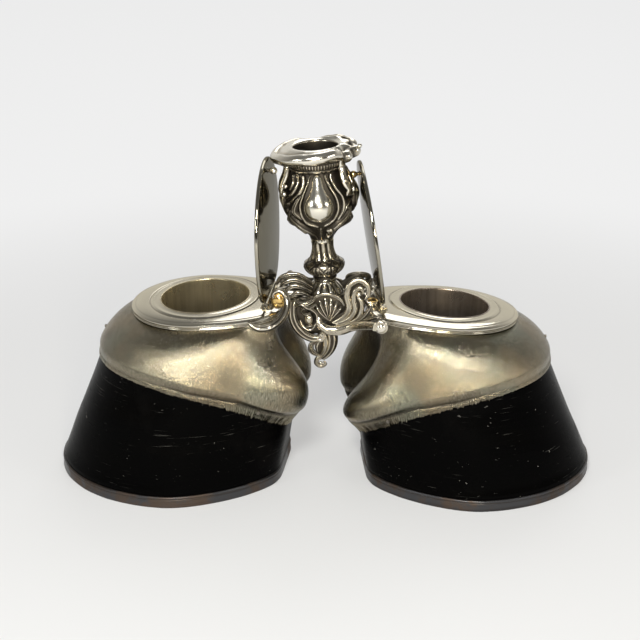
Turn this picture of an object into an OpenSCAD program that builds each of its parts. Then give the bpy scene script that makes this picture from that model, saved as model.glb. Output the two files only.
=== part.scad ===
// Double-hoof desk inkstand: two hoof inkwells with hinged lids, joined by a bridge
// that carries a cast candlestick.
// Frame: origin on the ground midway between the hooves, +X towards the right toe,
// +Y towards the back, +Z up. Millimetres.

/* [Layout] */
// Distance from the middle to each well axis
well_x = 65.3; // [60:0.1:75]
// Angle by which each toe is swung towards the back
splay = 6; // [0:0.5:10]
// Height of the left well rim
left_rim_z = 98.8; // [90:0.1:110]
// Height of the right well rim
right_rim_z = 96; // [86:0.1:106]
// Slope of the left collar down to its toe
left_toe_drop = 2.8; // [0:0.1:8]
// Slope of the right collar down to its toe
right_toe_drop = 5; // [0:0.1:8]
// Slope of the left collar down to the front
left_front_drop = 2.4; // [-3:0.1:5]
// Slope of the right collar down to the front
right_front_drop = -1.6; // [-3:0.1:5]

/* [Hoof] */
// Ground outline: well axis to toe
ground_toe = 82; // [74:0.5:95]
// Ground outline: well axis to heel
ground_heel = 43.5; // [40:0.5:50]
// Ground outline: half width
ground_half = 63; // [58:0.5:72]
// Ground outline: how far in front of the well axis it is widest
ground_wide = 14; // [4:0.5:24]
// Ground outline: half width at the heels
ground_heel_half = 34; // [24:0.5:40]
// Hairline outline: well axis to toe
hair_toe = 57.5; // [52:0.5:66]
// Hairline outline: well axis to heel
hair_heel = 47; // [42:0.5:52]
// Hairline outline: half width
hair_half = 53; // [46:0.5:58]
// Hairline outline: how far in front of the well axis it is widest
hair_wide = 9; // [2:0.5:16]
// Hairline outline: half width at the heels
hair_heel_half = 28; // [20:0.5:34]
// Height of the left hairline at the toe
left_hair_z = 68.3; // [60:0.1:74]
// Height of the right hairline at the toe
right_hair_z = 65; // [58:0.1:70]
// Fall of the hairline from toe to heel
hair_fall = 36; // [28:0.5:42]
// Height of horn tucked up inside the mount
horn_tuck = 12; // [8:0.5:14]
// How far the tucked horn is drawn in at its top edge
tuck_in = 3.5; // [2.5:0.5:6]
// Thickness of the horn wall
horn_wall = 9; // [6:0.5:12]

/* [Shoe] */
// Height of the plated rim
shoe_h = 6.5; // [4:0.1:9]
// Width of the rim under the horn
shoe_w = 10; // [7:0.5:14]
// How far the rim stands out from the horn
shoe_proud = 0.8; // [0.2:0.1:2]
// Thickness of the sole plate
sole_t = 2; // [1:0.1:3]
// Radius of a shoe pin
shoe_pin_r = 1; // [0.7:0.1:1.5]

/* [Coronet mount] */
// Thickness of the mount's sheet
skin = 1.2; // [0.8:0.1:1.8]
// Gap between horn and mount
horn_gap = 0.1; // [0.05:0.05:0.3]
// Pull of the curve that forms the front heel bulb
bulb_reach = 35; // [20:0.5:38]
// Pull of the curve that forms the back heel bulb
back_bulb_reach = 25; // [14:0.5:30]
// Depth of the hollow between the bulbs
cleft_depth = 28; // [8:0.5:30]
// Half width of the hollow between the bulbs
cleft_half = 13; // [5:0.5:16]
// Radius of a mount pin
mount_pin_r = 0.9; // [0.6:0.1:1.3]

/* [Collar] */
// Well axis to the collar's toe
collar_toe = 40.6; // [38:0.1:46]
// Well axis to the collar's heel end
collar_heel = 43.3; // [41:0.1:48]
// Half width of the collar
collar_half = 36.2; // [34:0.1:42]
// How far in front of the well axis the collar is widest
collar_wide = 2; // [0:0.5:8]
// Half width of the collar's heel end
collar_heel_half = 27; // [24:0.5:32]
// Thickness of the collar's edge
collar_edge = 1.5; // [1:0.1:2.5]
// Rise of the collar from its edge to the well rim
collar_dome = 2.4; // [1:0.1:4]
// Height of the moulding under the collar
wire_h = 1.6; // [1:0.1:2.5]
// Width of the moulding under the collar
wire_w = 2.4; // [1.5:0.1:4]
// How far the moulding is set in from the collar's edge
wire_in = 0.3; // [0:0.1:1]

/* [Well] */
// Radius inside the liner
well_r = 24.3; // [22:0.1:26]
// Wall of the liner
liner_wall = 0.7; // [0.5:0.1:1.2]
// Depth of the well
well_depth = 44; // [30:0.5:46]
// Width of the liner's seat under the collar
liner_seat = 2; // [1:0.1:3]

/* [Lid and hinge] */
// Well axis to the hinge axis
hinge_back = 35.5; // [34:0.1:37]
// Radius of the hinge barrel
barrel_r = 1.7; // [1.4:0.05:2]
// Radius of the hinge pin
hinge_pin_r = 0.8; // [0.6:0.05:1]
// Running clearance round the pin
pin_gap = 0.05; // [0.02:0.01:0.08]
// Length of the lid's knuckle
knuckle_len = 14; // [8:0.5:20]
// Length of each fixed knuckle
ear_len = 9; // [5:0.5:12]
// Gap between knuckles
knuckle_gap = 0.3; // [0.2:0.05:0.6]
// Thickness of the lid's edge
lid_t = 1.9; // [1.4:0.1:2.6]
// Rise of the lid's face above its edge
lid_dome = 1; // [0.4:0.1:1.6]
// Gap under the closed lid
lid_gap = 0.4; // [0.3:0.05:0.8]
// How far the lid overhangs the collar's toe
lid_lip = 0.9; // [0:0.1:2]
// Half width of the lid at the hinge
lid_heel_half = 29; // [26:0.5:32]
// Lean of the open left lid past upright
left_lean = -1; // [-1:0.1:4]
// Lean of the open right lid past upright
right_lean = 8.3; // [0.2:0.1:9]
// Radius of the thumb knob
knob_r = 2; // [1.5:0.1:2.5]
// Thumb knob to the lid's toe
knob_in = 6; // [4:0.5:10]

/* [Bridge] */
// Thickness of the bridge bar
bridge_t = 2.4; // [1.8:0.1:3]
// Half depth of the bridge bar
bridge_half = 9; // [7:0.5:12]
// Well axis to the bridge screws
screw_back = 40.4; // [39.5:0.1:41]
// Bridge screw towards the front
screw_front = 6; // [0:0.5:6]
// Radius of a bridge screw
screw_r = 1.4; // [1:0.1:1.6]
// Radius of a bridge screw's head
screw_head_r = 2.9; // [2.4:0.1:3.2]
// Radius of the hub under the bell
hub_r = 12; // [10:0.5:14]
// Height of the hub under the bell
hub_h = 5; // [3:0.5:7]

/* [Candlestick] */
// Height of the hub's top, where the bell stands
bell_z = 100; // [96:0.5:106]
// Height of the fluted bell
bell_h = 10; // [8:0.5:14]
// Radius of the bell's foot
bell_r = 10.5; // [8:0.5:12]
// Height of the knop and neck
knop_h = 21; // [18:0.5:26]
// Radius of the knop
knop_r = 11.2; // [9:0.1:13]
// Radius of the neck
neck_r = 5.6; // [4.5:0.1:7]
// Height of the cup
cup_h = 43; // [36:0.5:48]
// Greatest radius of the cup
cup_r = 19.6; // [17:0.1:19.8]
// Radius of the lip
lip_r = 23; // [21:0.1:24]
// Height of the waves in the lip
lip_wave = 4; // [1:0.5:5]
// Lean of the candlestick to the left
lean = 4; // [0:0.5:5]
// Radius inside the candle socket
socket_r = 11.3; // [10:0.1:12]
// Depth of the candle socket
socket_depth = 24; // [18:0.5:28]
// Wall of the candle socket
socket_wall = 0.6; // [0.4:0.1:1]
// Radius of the tie rod
rod_r = 1.8; // [1.2:0.1:2.4]

/* [Apron] */
// How far the cast aprons stand out from the middle
apron_out = 16; // [14:0.5:20]
// Thickness of the main scrolls
scroll_r = 2.6; // [1.6:0.1:3]
// Depth of the apron below the hub's top
apron_drop = 38; // [30:0.5:42]

/* [Hidden] */

LEFT = -1;
RIGHT = 1;
fine = 72;
// points round an outline and levels up the horn and the mount
around = 52;
horn_levels = 4;
mount_levels = 9;
// how strongly the outline points gather at the heel, and how square the heel is
heel_bias = 1.35;
heel_run = 0.62;
heel_square = 0.32;
heel_taper = 1.6;
hair_power = 2.5;
// small distance that makes a cut run clean through a face
cut = 0.1;
// smallest distance kept between pieces that move past each other
clear = 0.3;
// gap left where a casting is seated round the hub
seat_gap = 0.05;

function rim_z(side) = side < 0 ? left_rim_z : right_rim_z;
function toe_drop(side) = side < 0 ? left_toe_drop : right_toe_drop;
function front_drop(side) = side < 0 ? left_front_drop : right_front_drop;
function lid_lean(side) = side < 0 ? left_lean : right_lean;

function clamp01(v) = min(1, max(0, v));
function smooth(a, b, v) = let (u = clamp01((v - a) / (b - a))) u * u * (3 - 2 * u);
function unit(v) = v / max(norm(v), 0.0001);
function lerp(a, b, u) = a + (b - a) * u;

// Angle of outline point i: 0 at the toe, 180 at the heel, closer together at the heel
function outline_angle(i) =
    let (w = 2 * i / around - 1)
    180 * sign(w) * (1 - pow(1 - abs(w), 1 / heel_bias));

// A D-shaped outline: half an ellipse round the toe, sides that converge to a square heel
function outline_point(toe, heel, half, wide, heel_half, a) =
    cos(a) >= 0
        ? [wide + (toe - wide) * cos(a), half * sin(a)]
        : let (x = wide - (heel + wide) * pow(-cos(a), heel_run),
               q = clamp01((wide - x) / (wide + heel)),
               w = half - (half - heel_half) * pow(q, heel_taper))
          [x, w * sign(sin(a)) * pow(abs(sin(a)), heel_square)];
function outline(toe, heel, half, wide, heel_half) =
    [for (i = [0:around - 1])
        outline_point(toe, heel, half, wide, heel_half, outline_angle(i))];

function outline_normal(p, i) =
    let (n = len(p), d = p[(i + 1) % n] - p[(i + n - 1) % n]) unit([d[1], -d[0]]);
function grown(p, by) = [for (i = [0:len(p) - 1]) p[i] + by * outline_normal(p, i)];

ground_line = outline(ground_toe, ground_heel, ground_half, ground_wide, ground_heel_half);
hair_line = outline(hair_toe, hair_heel, hair_half, hair_wide, hair_heel_half);
collar_line = outline(collar_toe, collar_heel, collar_half, collar_wide, collar_heel_half);

// the splayed shoes reach further back than forward; this centres them on the frame
shoe_reach = [for (p = grown(ground_line, shoe_proud)) p[0] * sin(splay) + p[1] * cos(splay)];
well_y = -(min(shoe_reach) + max(shoe_reach)) / 2;

// Skin between rings of equal length that run anticlockwise seen from the list's end
function ring_faces(rings, n) =
    [for (k = [0:rings - 2]) for (i = [0:n - 1]) let (j = (i + 1) % n)
        each [[k * n + i, (k + 1) * n + j, k * n + j],
              [k * n + i, (k + 1) * n + i, (k + 1) * n + j]]];
function flat(lists) = [for (l = lists) each l];

// A closed solid from rings listed from the bottom, with flat fans at both ends
module ring_solid(rings) {
    n = len(rings[0]);
    last = (len(rings) - 1) * n;
    middle = function(r) [for (c = [0:2]) let (v = [for (p = r) p[c]]) (min(v) + max(v)) / 2];
    points = concat(flat(rings), [middle(rings[0]), middle(rings[len(rings) - 1])]);
    ends = [for (i = [0:n - 1]) let (j = (i + 1) % n)
        each [[len(points) - 2, i, j], [len(points) - 1, last + j, last + i]]];
    polyhedron(points, concat(ring_faces(len(rings), n), ends), convexity = 6);
}

// A closed tube: rings that run up the outside and back down the inside
module ring_shell(rings) {
    n = len(rings[0]);
    polyhedron(flat(rings), ring_faces_closed(len(rings), n), convexity = 6);
}
function ring_faces_closed(rings, n) =
    [for (k = [0:rings - 1]) for (i = [0:n - 1]) let (j = (i + 1) % n, m = (k + 1) % rings)
        each [[k * n + i, m * n + j, k * n + j], [k * n + i, m * n + i, m * n + j]]];

// ---- the two frames of each half: the hoof's own, and its sloping top's ----
module hoof_frame(side) {
    mirror([side < 0 ? 1 : 0, 0, 0])
        translate([well_x, well_y, 0])
            rotate([0, 0, splay])
                children();
}
module top_frame(side) {
    hoof_frame(side)
        translate([0, 0, rim_z(side)])
            rotate([front_drop(side), toe_drop(side), 0])
                children();
}
// a point of the top frame, in the hoof frame
function top_point(side, p) =
    let (a = front_drop(side), b = toe_drop(side),
         y = p[1] * cos(a) - p[2] * sin(a),
         z = p[1] * sin(a) + p[2] * cos(a))
    [p[0] * cos(b) + z * sin(b), y, z * cos(b) - p[0] * sin(b) + rim_z(side)];
// a point of the hoof frame, in the row's frame
function row_point(side, p) =
    [side * (well_x + p[0] * cos(splay) - p[1] * sin(splay)),
     well_y + p[0] * sin(splay) + p[1] * cos(splay),
     p[2]];

// ---- horn ----
function hair_z(side, s) =
    (side < 0 ? left_hair_z : right_hair_z)
    - hair_fall * pow(clamp01((hair_toe - s) / (hair_toe + hair_heel)), hair_power);
// point i of the horn's face, at share u of the way from the shoe to the hairline
function horn_point(side, i, u) =
    let (g = ground_line[i], h = hair_line[i],
         p = lerp(g, h, u), z = lerp(shoe_h, hair_z(side, h[0]), u))
    [p[0], p[1], z];
function tuck_share(side, i) = 1 + horn_tuck / (hair_z(side, hair_line[i][0]) - shoe_h);
function horn_ring(side, level, inset) =
    [for (i = [0:around - 1])
        let (tucked = level > horn_levels,
             p = horn_point(side, i, tucked ? tuck_share(side, i) : level / horn_levels),
             in = inset + (tucked ? tuck_in : 0),
             n = outline_normal(hair_line, i))
        [p[0] - in * n[0], p[1] - in * n[1], p[2]]];
module hoof(side) {
    outer = [for (k = [0:horn_levels + 1]) horn_ring(side, k, 0)];
    inner = [for (k = [horn_levels + 1:-1:0]) horn_ring(side, k, horn_wall)];
    color([0.05, 0.05, 0.05])
        hoof_frame(side)
            difference() {
                ring_shell(concat(outer, inner));
                mount_pin_holes(side);
                shoe_pin_holes();
            }
}

// ---- shoe ----
module shoe(side) {
    color([0.5, 0.47, 0.43])
        hoof_frame(side)
            difference() {
                linear_extrude(shoe_h) polygon(grown(ground_line, shoe_proud));
                translate([0, 0, -cut])
                    linear_extrude(shoe_h + 2 * cut) polygon(grown(ground_line, -shoe_w));
                shoe_pin_holes();
            }
}
module sole_plate(side) {
    color([0.4, 0.36, 0.3])
        hoof_frame(side)
            translate([0, 0, shoe_h - sole_t])
                linear_extrude(sole_t) polygon(grown(ground_line, -shoe_w));
}
// four pins rise through the shoe into the horn wall
pin_turns = [12, 20, 32, 40];
module each_shoe_pin() {
    for (i = pin_turns)
        translate(concat(grown(ground_line, -horn_wall / 2)[i], [0]))
            children();
}
shoe_pin_len = shoe_h + 5;
module shoe_pin_holes() {
    each_shoe_pin() cylinder(r = shoe_pin_r, h = shoe_pin_len, $fn = fine / 3);
}
module shoe_pins(side) {
    color([0.55, 0.5, 0.42]) hoof_frame(side) shoe_pin_holes();
}

// ---- coronet mount ----
// handles of the curve that each point of the mount follows from hairline to collar,
// as [outward, upward] steps
low_handle = [0, 10];
high_handle = [11.5, -3.5];
// The front bulb hangs low under a hollow neck, lowest on the right; the back one stands
// high and full.
left_bulb_rise = 12;
left_bulb_more = 3;
function front_bulb_handle(side) =
    side < 0 ? [bulb_reach + left_bulb_more, 22 + left_bulb_rise] : [bulb_reach, 22];
function front_neck_handle(side) = side < 0 ? [-7.5, -24.5] : [-21.5, -32.5];
back_bulb_handle = [back_bulb_reach, 24];
back_neck_handle = [-0.5, -23.5];
cleft_high = 5;
function heel_way(i) = (hair_wide - hair_line[i][0]) / (hair_wide + hair_heel);
function bulb_share(i) = smooth(0.45, 1, heel_way(i));
function back_share(i) = smooth(-12, 12, hair_line[i][1]);
function cleft_share(i) =
    smooth(0.6, 1, heel_way(i)) * exp(-pow(hair_line[i][1] / cleft_half, 2));
function mount_base(side, i) =
    let (h = grown(hair_line, skin + horn_gap)[i]) [h[0], h[1], hair_z(side, hair_line[i][0])];
function mount_top(side, i) =
    let (c = grown(collar_line, -wire_in - wire_w / 2)[i])
    top_point(side, [c[0], c[1], -collar_dome - collar_edge - wire_h]);
function mount_point(side, i, u) =
    let (n = outline_normal(hair_line, i),
         b = bulb_share(i), f = back_share(i), c = cleft_share(i),
         low = lerp(low_handle, lerp(front_bulb_handle(side), back_bulb_handle, f), b)
               - [cleft_depth * c, 0],
         high = lerp(high_handle, lerp(front_neck_handle(side), back_neck_handle, f), b)
                - [cleft_high * c, 0],
         p0 = mount_base(side, i), p3 = mount_top(side, i),
         p1 = p0 + [n[0] * low[0], n[1] * low[0], low[1]],
         p2 = p3 + [n[0] * high[0], n[1] * high[0], high[1]],
         v = 1 - u)
    v * v * v * p0 + 3 * v * v * u * p1 + 3 * v * u * u * p2 + u * u * u * p3;
module coronet(side) {
    outer = [for (k = [0:mount_levels])
        [for (i = [0:around - 1]) mount_point(side, i, k / mount_levels)]];
    n = around;
    normal = function(k, i)
        let (a = outer[k][(i + 1) % n] - outer[k][(i + n - 1) % n],
             b = outer[min(k + 1, mount_levels)][i] - outer[max(k - 1, 0)][i])
        unit(cross(a, b));
    inner = [for (k = [mount_levels:-1:0])
        [for (i = [0:n - 1])
            let (q = outer[k][i] - skin * normal(k, i))
            k == 0 || k == mount_levels ? [q[0], q[1], outer[k][i][2]] : q]];
    color([0.62, 0.58, 0.5])
        hoof_frame(side)
            difference() {
                ring_shell(concat(outer, inner));
                mount_pin_holes(side);
            }
}
// one pin at the toe and one through each heel bulb, square to the horn's wall:
// [outline point, share of the way up the mount, length inside the mount]
pin_spots = [[around / 2, 0.34, 14], [5, 0.06, 13], [around - 5, 0.06, 13]];
pin_proud = 1;
module mount_pin_holes(side) {
    for (spot = pin_spots) {
        n = outline_normal(hair_line, spot[0]);
        translate(mount_point(side, spot[0], spot[1]))
            rotate([0, 90, atan2(n[1], n[0])])
                translate([0, 0, -spot[2]])
                    cylinder(r = mount_pin_r, h = spot[2] + pin_proud, $fn = fine / 3);
    }
}
module coronet_pins(side) {
    color([0.3, 0.28, 0.25]) hoof_frame(side) mount_pin_holes(side);
}

// ---- collar ----
// the dome's rings, from its edge to the crown: [drawn in towards the well, share of the rise]
collar_turn = 1.2;
collar_rings = [[4, 0.66], [8, 0.93], [11, 1]];
module collar(side) {
    top = -collar_dome;
    color([0.82, 0.8, 0.75])
        top_frame(side)
            difference() {
                ring_solid(concat(
                    [raised(collar_line, 0, top - collar_edge),
                     raised(collar_line, 0, top),
                     raised(collar_line, -collar_turn, top + collar_dome * 0.3)],
                    [for (q = collar_rings)
                        drawn_in(collar_line, q[0], top + collar_dome * q[1])]
                ));
                translate([0, 0, top - collar_edge - cut])
                    cylinder(r = well_r, h = collar_edge + collar_dome + 2 * cut, $fn = fine * 2);
                bridge_screw_hole();
                hinge_seat();
            }
}
// flat seat sunk into the collar's heel end, for the hinge ears and the bridge pad
module hinge_seat() {
    translate([-collar_heel - 5, -seat_half, seat_z])
        cube([collar_heel + 5 - hinge_back + barrel_r + clear, 2 * seat_half, 5]);
}
// an outline at height z: grown square to itself, or drawn in towards the well axis
function raised(p, by, z) = [for (q = grown(p, by)) [q[0], q[1], z]];
function drawn_in(p, by, z) =
    [for (q = p) let (w = 1 - by / norm(q)) [q[0] * w, q[1] * w, z]];
module collar_wire(side) {
    color([0.7, 0.67, 0.6])
        top_frame(side)
            translate([0, 0, -collar_dome - collar_edge - wire_h])
                difference() {
                    linear_extrude(wire_h) polygon(grown(collar_line, -wire_in));
                    translate([0, 0, -cut])
                        linear_extrude(wire_h + 2 * cut)
                            polygon(grown(collar_line, -wire_in - wire_w));
                    bridge_screw_hole();
                }
}
module well_liner(side) {
    top = -collar_dome - collar_edge;
    color([0.72, 0.66, 0.5])
        top_frame(side)
            difference() {
                union() {
                    translate([0, 0, -well_depth - liner_wall])
                        cylinder(r = well_r + liner_wall, h = well_depth + liner_wall + top,
                                 $fn = fine * 2);
                    translate([0, 0, top - liner_wall])
                        cylinder(r = well_r + liner_wall + liner_seat, h = liner_wall,
                                 $fn = fine * 2);
                }
                translate([0, 0, -well_depth])
                    cylinder(r = well_r, h = well_depth, $fn = fine * 2);
            }
}

// ---- hinge and lid ----
// The hinge axis lies across the collar; the lid is drawn closed, then turned open.
hinge_z = lid_gap + 0.2;
seat_z = hinge_z - barrel_r - clear;
function open_angle(side) = 90 + lid_lean(side) + toe_drop(side);
module hinge_frame(side) {
    top_frame(side) translate([-hinge_back, 0, hinge_z]) children();
}
module lid_frame(side) {
    hinge_frame(side) rotate([0, -open_angle(side), 0]) children();
}
module barrel(from, to, r) {
    translate([0, from, 0]) rotate([-90, 0, 0]) cylinder(r = r, h = to - from, $fn = fine);
}
ear_from = knuckle_len / 2 + knuckle_gap;
seat_half = ear_from + ear_len + clear;
module hinge_knuckles(side) {
    foot = hinge_z - seat_z;
    color([0.75, 0.72, 0.66])
        hinge_frame(side)
            for (m = [-1, 1])
                difference() {
                    union() {
                        barrel(m < 0 ? -ear_from - ear_len : ear_from,
                               m < 0 ? -ear_from : ear_from + ear_len, barrel_r);
                        translate([-barrel_r, m < 0 ? -ear_from - ear_len : ear_from, -foot])
                            cube([2 * barrel_r, ear_len, foot]);
                    }
                    barrel(-ear_from - ear_len - cut, ear_from + ear_len + cut, hinge_pin_r);
                }
}
module hinge_pin(side) {
    color([0.6, 0.57, 0.5])
        hinge_frame(side) barrel(-ear_from - ear_len, ear_from + ear_len, hinge_pin_r);
}
lid_back = hinge_back - barrel_r - 0.6;
lid_line = outline(collar_toe + lid_lip, lid_back, collar_half + clear, collar_wide, lid_heel_half);
lid_floor = lid_gap - hinge_z;
// the lid's dome, as the collar's
lid_turn = 0.4;
lid_rings = [[9, 0.6], [20, 1]];
module lid(side) {
    color([0.85, 0.84, 0.8])
        lid_frame(side)
            translate([hinge_back, 0, lid_floor])
                ring_solid(concat(
                    [raised(lid_line, 0, 0),
                     raised(lid_line, 0, lid_t - lid_turn),
                     raised(lid_line, -lid_turn, lid_t)],
                    [for (q = lid_rings) drawn_in(lid_line, q[0], lid_t + lid_dome * q[1])]
                ));
}
// the lid's barrel, with a strap that runs out under the lid's edge to carry it
module lid_knuckle(side) {
    color([0.75, 0.72, 0.66])
        lid_frame(side)
            difference() {
                union() {
                    barrel(-knuckle_len / 2, knuckle_len / 2, barrel_r);
                    translate([0, -knuckle_len / 2, lid_floor])
                        cube([hinge_back - lid_back, knuckle_len, lid_t - lid_turn]);
                }
                barrel(-knuckle_len / 2 - cut, knuckle_len / 2 + cut, hinge_pin_r + pin_gap);
            }
}
// the knob keeps under the candlestick's lip when the lid stands open
function lip_under() = lean_z + lip_base + lip_rise * 0.16 - lip_wave * 0.35;
function hinge_height(side) = row_point(side, top_point(side, [-hinge_back, 0, hinge_z]))[2];
function knob_reach(side) =
    min(hinge_back + collar_toe + lid_lip - knob_in,
        (lip_under() - knob_r - clear - hinge_height(side)) / cos(lid_lean(side)));
module lid_knob(side) {
    color([0.8, 0.74, 0.6])
        lid_frame(side)
            translate([knob_reach(side), 0, lid_floor + lid_t]) {
                cylinder(r = knob_r * 0.45, h = knob_r, $fn = fine / 2);
                translate([0, 0, knob_r * 1.35]) sphere(r = knob_r, $fn = fine / 2);
            }
}

// ---- bridge ----
pad_top = seat_z + bridge_t;
screw_down = 5;
module bridge_screw_hole() {
    translate([-screw_back, -screw_front, -8])
        cylinder(r = screw_r, h = 16, $fn = fine / 2);
}
module bridge_pad(side) {
    top_frame(side)
        translate([-collar_heel - 1, -bridge_half, pad_top - bridge_t])
            cube([collar_heel + 1 - hinge_back - barrel_r - clear, 2 * bridge_half, bridge_t]);
}
// the bar from the hub out to one pad: a straight slab whose ends meet both
module bridge_arm(side) {
    pad = row_point(side, top_point(side, [-collar_heel, 0, pad_top - bridge_t / 2]));
    hub = [0, 0, bell_z - hub_h / 2];
    rise = atan2(pad[2] - hub[2], pad[0] * side);
    translate(hub)
        rotate([0, side < 0 ? 180 + rise : -rise, 0])
            translate([0, -bridge_half, -bridge_t / 2])
                cube([norm([pad[0], 0, pad[2] - hub[2]]) - 0.5, 2 * bridge_half, bridge_t]);
}
module bridge_blank(room) {
    for (side = [LEFT, RIGHT]) {
        bridge_pad(side);
        bridge_arm(side);
    }
    translate([0, 0, bell_z - hub_h - room])
        cylinder(r = hub_r + room, h = hub_h + room, $fn = fine);
}
module bridge() {
    color([0.6, 0.57, 0.5])
        difference() {
            bridge_blank(0);
            for (side = [LEFT, RIGHT])
                top_frame(side) bridge_screw_hole();
            translate([0, 0, bell_z]) cylinder(r = bell_r + cut, h = bell_h, $fn = fine);
            rod_bore();
            leaning() translate([0, 0, -nut_seat - hub_h])
                cylinder(r = nut_r + clear, h = hub_h, $fn = fine / 2);
        }
}
module bridge_screws() {
    color([0.72, 0.5, 0.22])
        for (side = [LEFT, RIGHT])
            top_frame(side)
                translate([-screw_back, -screw_front, 0]) {
                    translate([0, 0, -screw_down])
                        cylinder(r = screw_r, h = screw_down + pad_top, $fn = fine / 2);
                    translate([0, 0, pad_top])
                        intersection() {
                            cylinder(r = screw_head_r, h = screw_head_r, $fn = fine / 2);
                            translate([0, 0, -screw_head_r * 0.9])
                                sphere(r = screw_head_r * 1.45, $fn = fine / 2);
                        }
                }
}

// ---- candlestick ----
lean_z = bell_z + bell_h;
module leaning() {
    translate([0, 0, lean_z]) rotate([0, -lean, 0]) children();
}
module bell() {
    color([0.66, 0.63, 0.57])
        difference() {
            translate([0, 0, bell_z]) {
                rotate_extrude($fn = fine)
                    polygon([
                        [0, 0], [bell_r, 0], [bell_r, bell_h * 0.12],
                        [bell_r * 0.82, bell_h * 0.3], [bell_r * 0.62, bell_h * 0.6],
                        [neck_r, bell_h * 0.85], [neck_r, bell_h], [0, bell_h]
                    ]);
                for (a = [0:36:324])
                    rotate([0, 0, a])
                        translate([bell_r * 0.62, 0, bell_h * 0.3])
                            sphere(r = bell_h * 0.24, $fn = fine / 3);
            }
            // the bell's top is planed to the candlestick's lean
            leaning() translate([-bell_r, -bell_r, 0]) cube([2 * bell_r, 2 * bell_r, bell_h]);
            rod_bore();
        }
}
module knop() {
    color([0.66, 0.63, 0.57])
        difference() {
            leaning()
                rotate_extrude($fn = fine)
                    polygon([
                        [0, 0], [neck_r * 1.1, 0], [neck_r * 1.2, knop_h * 0.06],
                        [knop_r * 0.86, knop_h * 0.14], [knop_r, knop_h * 0.26],
                        [knop_r * 0.9, knop_h * 0.38], [neck_r * 1.3, knop_h * 0.46],
                        [neck_r, knop_h * 0.6], [neck_r, knop_h * 0.9],
                        [neck_r * 1.1, knop_h], [0, knop_h]
                    ]);
            rod_bore();
        }
}
// the rod stands on the candlestick's leaning axis, from below the hub into the cup
module rod_bore() {
    leaning()
        translate([0, 0, -rod_below])
            cylinder(r = rod_r, h = rod_below + rod_top, $fn = fine / 2);
}
rod_below = bell_h + hub_h + 5;
rod_top = knop_h + 6;
lip_base = knop_h + cup_h;
cup_mouth = 0.87;
cup_profile = [
    [neck_r * 1.1, 0], [neck_r * 1.7, 0.13], [cup_r * 0.78, 0.25], [cup_r * 0.95, 0.42],
    [cup_r, 0.58], [cup_r * 0.93, 0.72], [cup_r * 0.84, 0.86], [cup_r * cup_mouth, 1]
];
module nozzle() {
    color([0.7, 0.67, 0.6])
        leaning()
            difference() {
                union() {
                    translate([0, 0, knop_h])
                        rotate_extrude($fn = fine)
                            polygon(concat([[0, 0]],
                                           [for (p = cup_profile) [p[0], p[1] * cup_h]],
                                           [[0, cup_h]]));
                    egg_boss();
                }
                translate([0, 0, lip_base - socket_depth])
                    cylinder(r = socket_r + socket_wall, h = socket_depth + cut, $fn = fine);
                translate([0, 0, knop_h - cut])
                    cylinder(r = rod_r, h = rod_top - knop_h + cut, $fn = fine / 2);
            }
}
module egg_boss() {
    translate([0, -cup_r * 0.55, knop_h + cup_h * 0.5])
        scale([1, 1, 1.45]) sphere(r = cup_r * 0.56, $fn = fine / 2);
}
// lip: a rolled rim whose height and reach wave round the nozzle
lip_steps = 40;
function lip_height(a) = lip_wave * (0.3 * sin(a - 10) + 0.35 * cos(3 * a - 150));
lip_oval = 1.6;
lip_lobe = 0.9;
function lip_reach(a) = lip_r + lip_oval * cos(2 * a) + lip_lobe * cos(3 * a + 60);
lip_section = [[0.3, -0.2], [1, 0.47], [1.02, 0.65], [0.93, 0.8], [0.62, 0.58]];
lip_rise = 12;
function lip_ring(k) =
    [for (i = [0:lip_steps - 1])
        let (a = 360 * i / lip_steps, q = lip_section[k],
             r = lerp(socket_r + 2, lip_reach(a), q[0]))
        [r * cos(a), r * sin(a), q[1] * lip_rise + lip_height(a) * q[0]]];
module nozzle_lip() {
    color([0.74, 0.71, 0.65])
        leaning()
            translate([0, 0, lip_base])
                difference() {
                    ring_shell(concat([for (k = [0:len(lip_section) - 1]) lip_ring(k)],
                                      [lip_bore_ring(lip_rise * 0.48), lip_bore_ring(0)]));
                    translate([0, 0, -lip_rise])
                        cylinder(r = cup_r * cup_mouth + 0.05, h = lip_rise, $fn = fine);
                    translate([0, 0, -cut])
                        cylinder(r = socket_r + socket_wall, h = 2 * lip_rise, $fn = fine);
                }
}
function lip_bore_ring(z) =
    [for (i = [0:lip_steps - 1])
        let (a = 360 * i / lip_steps) [(socket_r - 1) * cos(a), (socket_r - 1) * sin(a), z]];
module candle_socket() {
    color([0.5, 0.47, 0.42])
        leaning()
            translate([0, 0, lip_base - socket_depth])
                difference() {
                    cylinder(r = socket_r + socket_wall, h = socket_depth + lip_rise * 0.3,
                             $fn = fine);
                    translate([0, 0, socket_wall])
                        cylinder(r = socket_r, h = socket_depth + lip_rise, $fn = fine);
                }
}
module tie_rod() {
    color([0.5, 0.48, 0.45]) rod_bore();
}
nut_r = rod_r * 2.4;
nut_h = 3.6;
nut_seat = bell_h + hub_h - 0.5;
module tie_nut() {
    color([0.5, 0.48, 0.45])
        difference() {
            leaning() translate([0, 0, -nut_seat - nut_h]) cylinder(r = nut_r, h = nut_h, $fn = 6);
            rod_bore();
        }
}

// ---- aprons ----
// Catmull-Rom curve through hand-placed points [x, y, z, thickness]
curve_steps = 3;
function catmull(a, b, c, d, u) =
    0.5 * (2 * b + (c - a) * u + (2 * a - 5 * b + 4 * c - d) * u * u
           + (3 * b - a - 3 * c + d) * u * u * u);
function curve(p) =
    let (n = len(p))
    concat([for (k = [0:n - 2]) for (j = [0:curve_steps - 1])
                catmull(p[max(k - 1, 0)], p[k], p[k + 1], p[min(k + 2, n - 1)], j / curve_steps)],
           [p[n - 1]]);
tube_sides = 7;
function place_of(q) = [q[0], q[1], q[2]];
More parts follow.
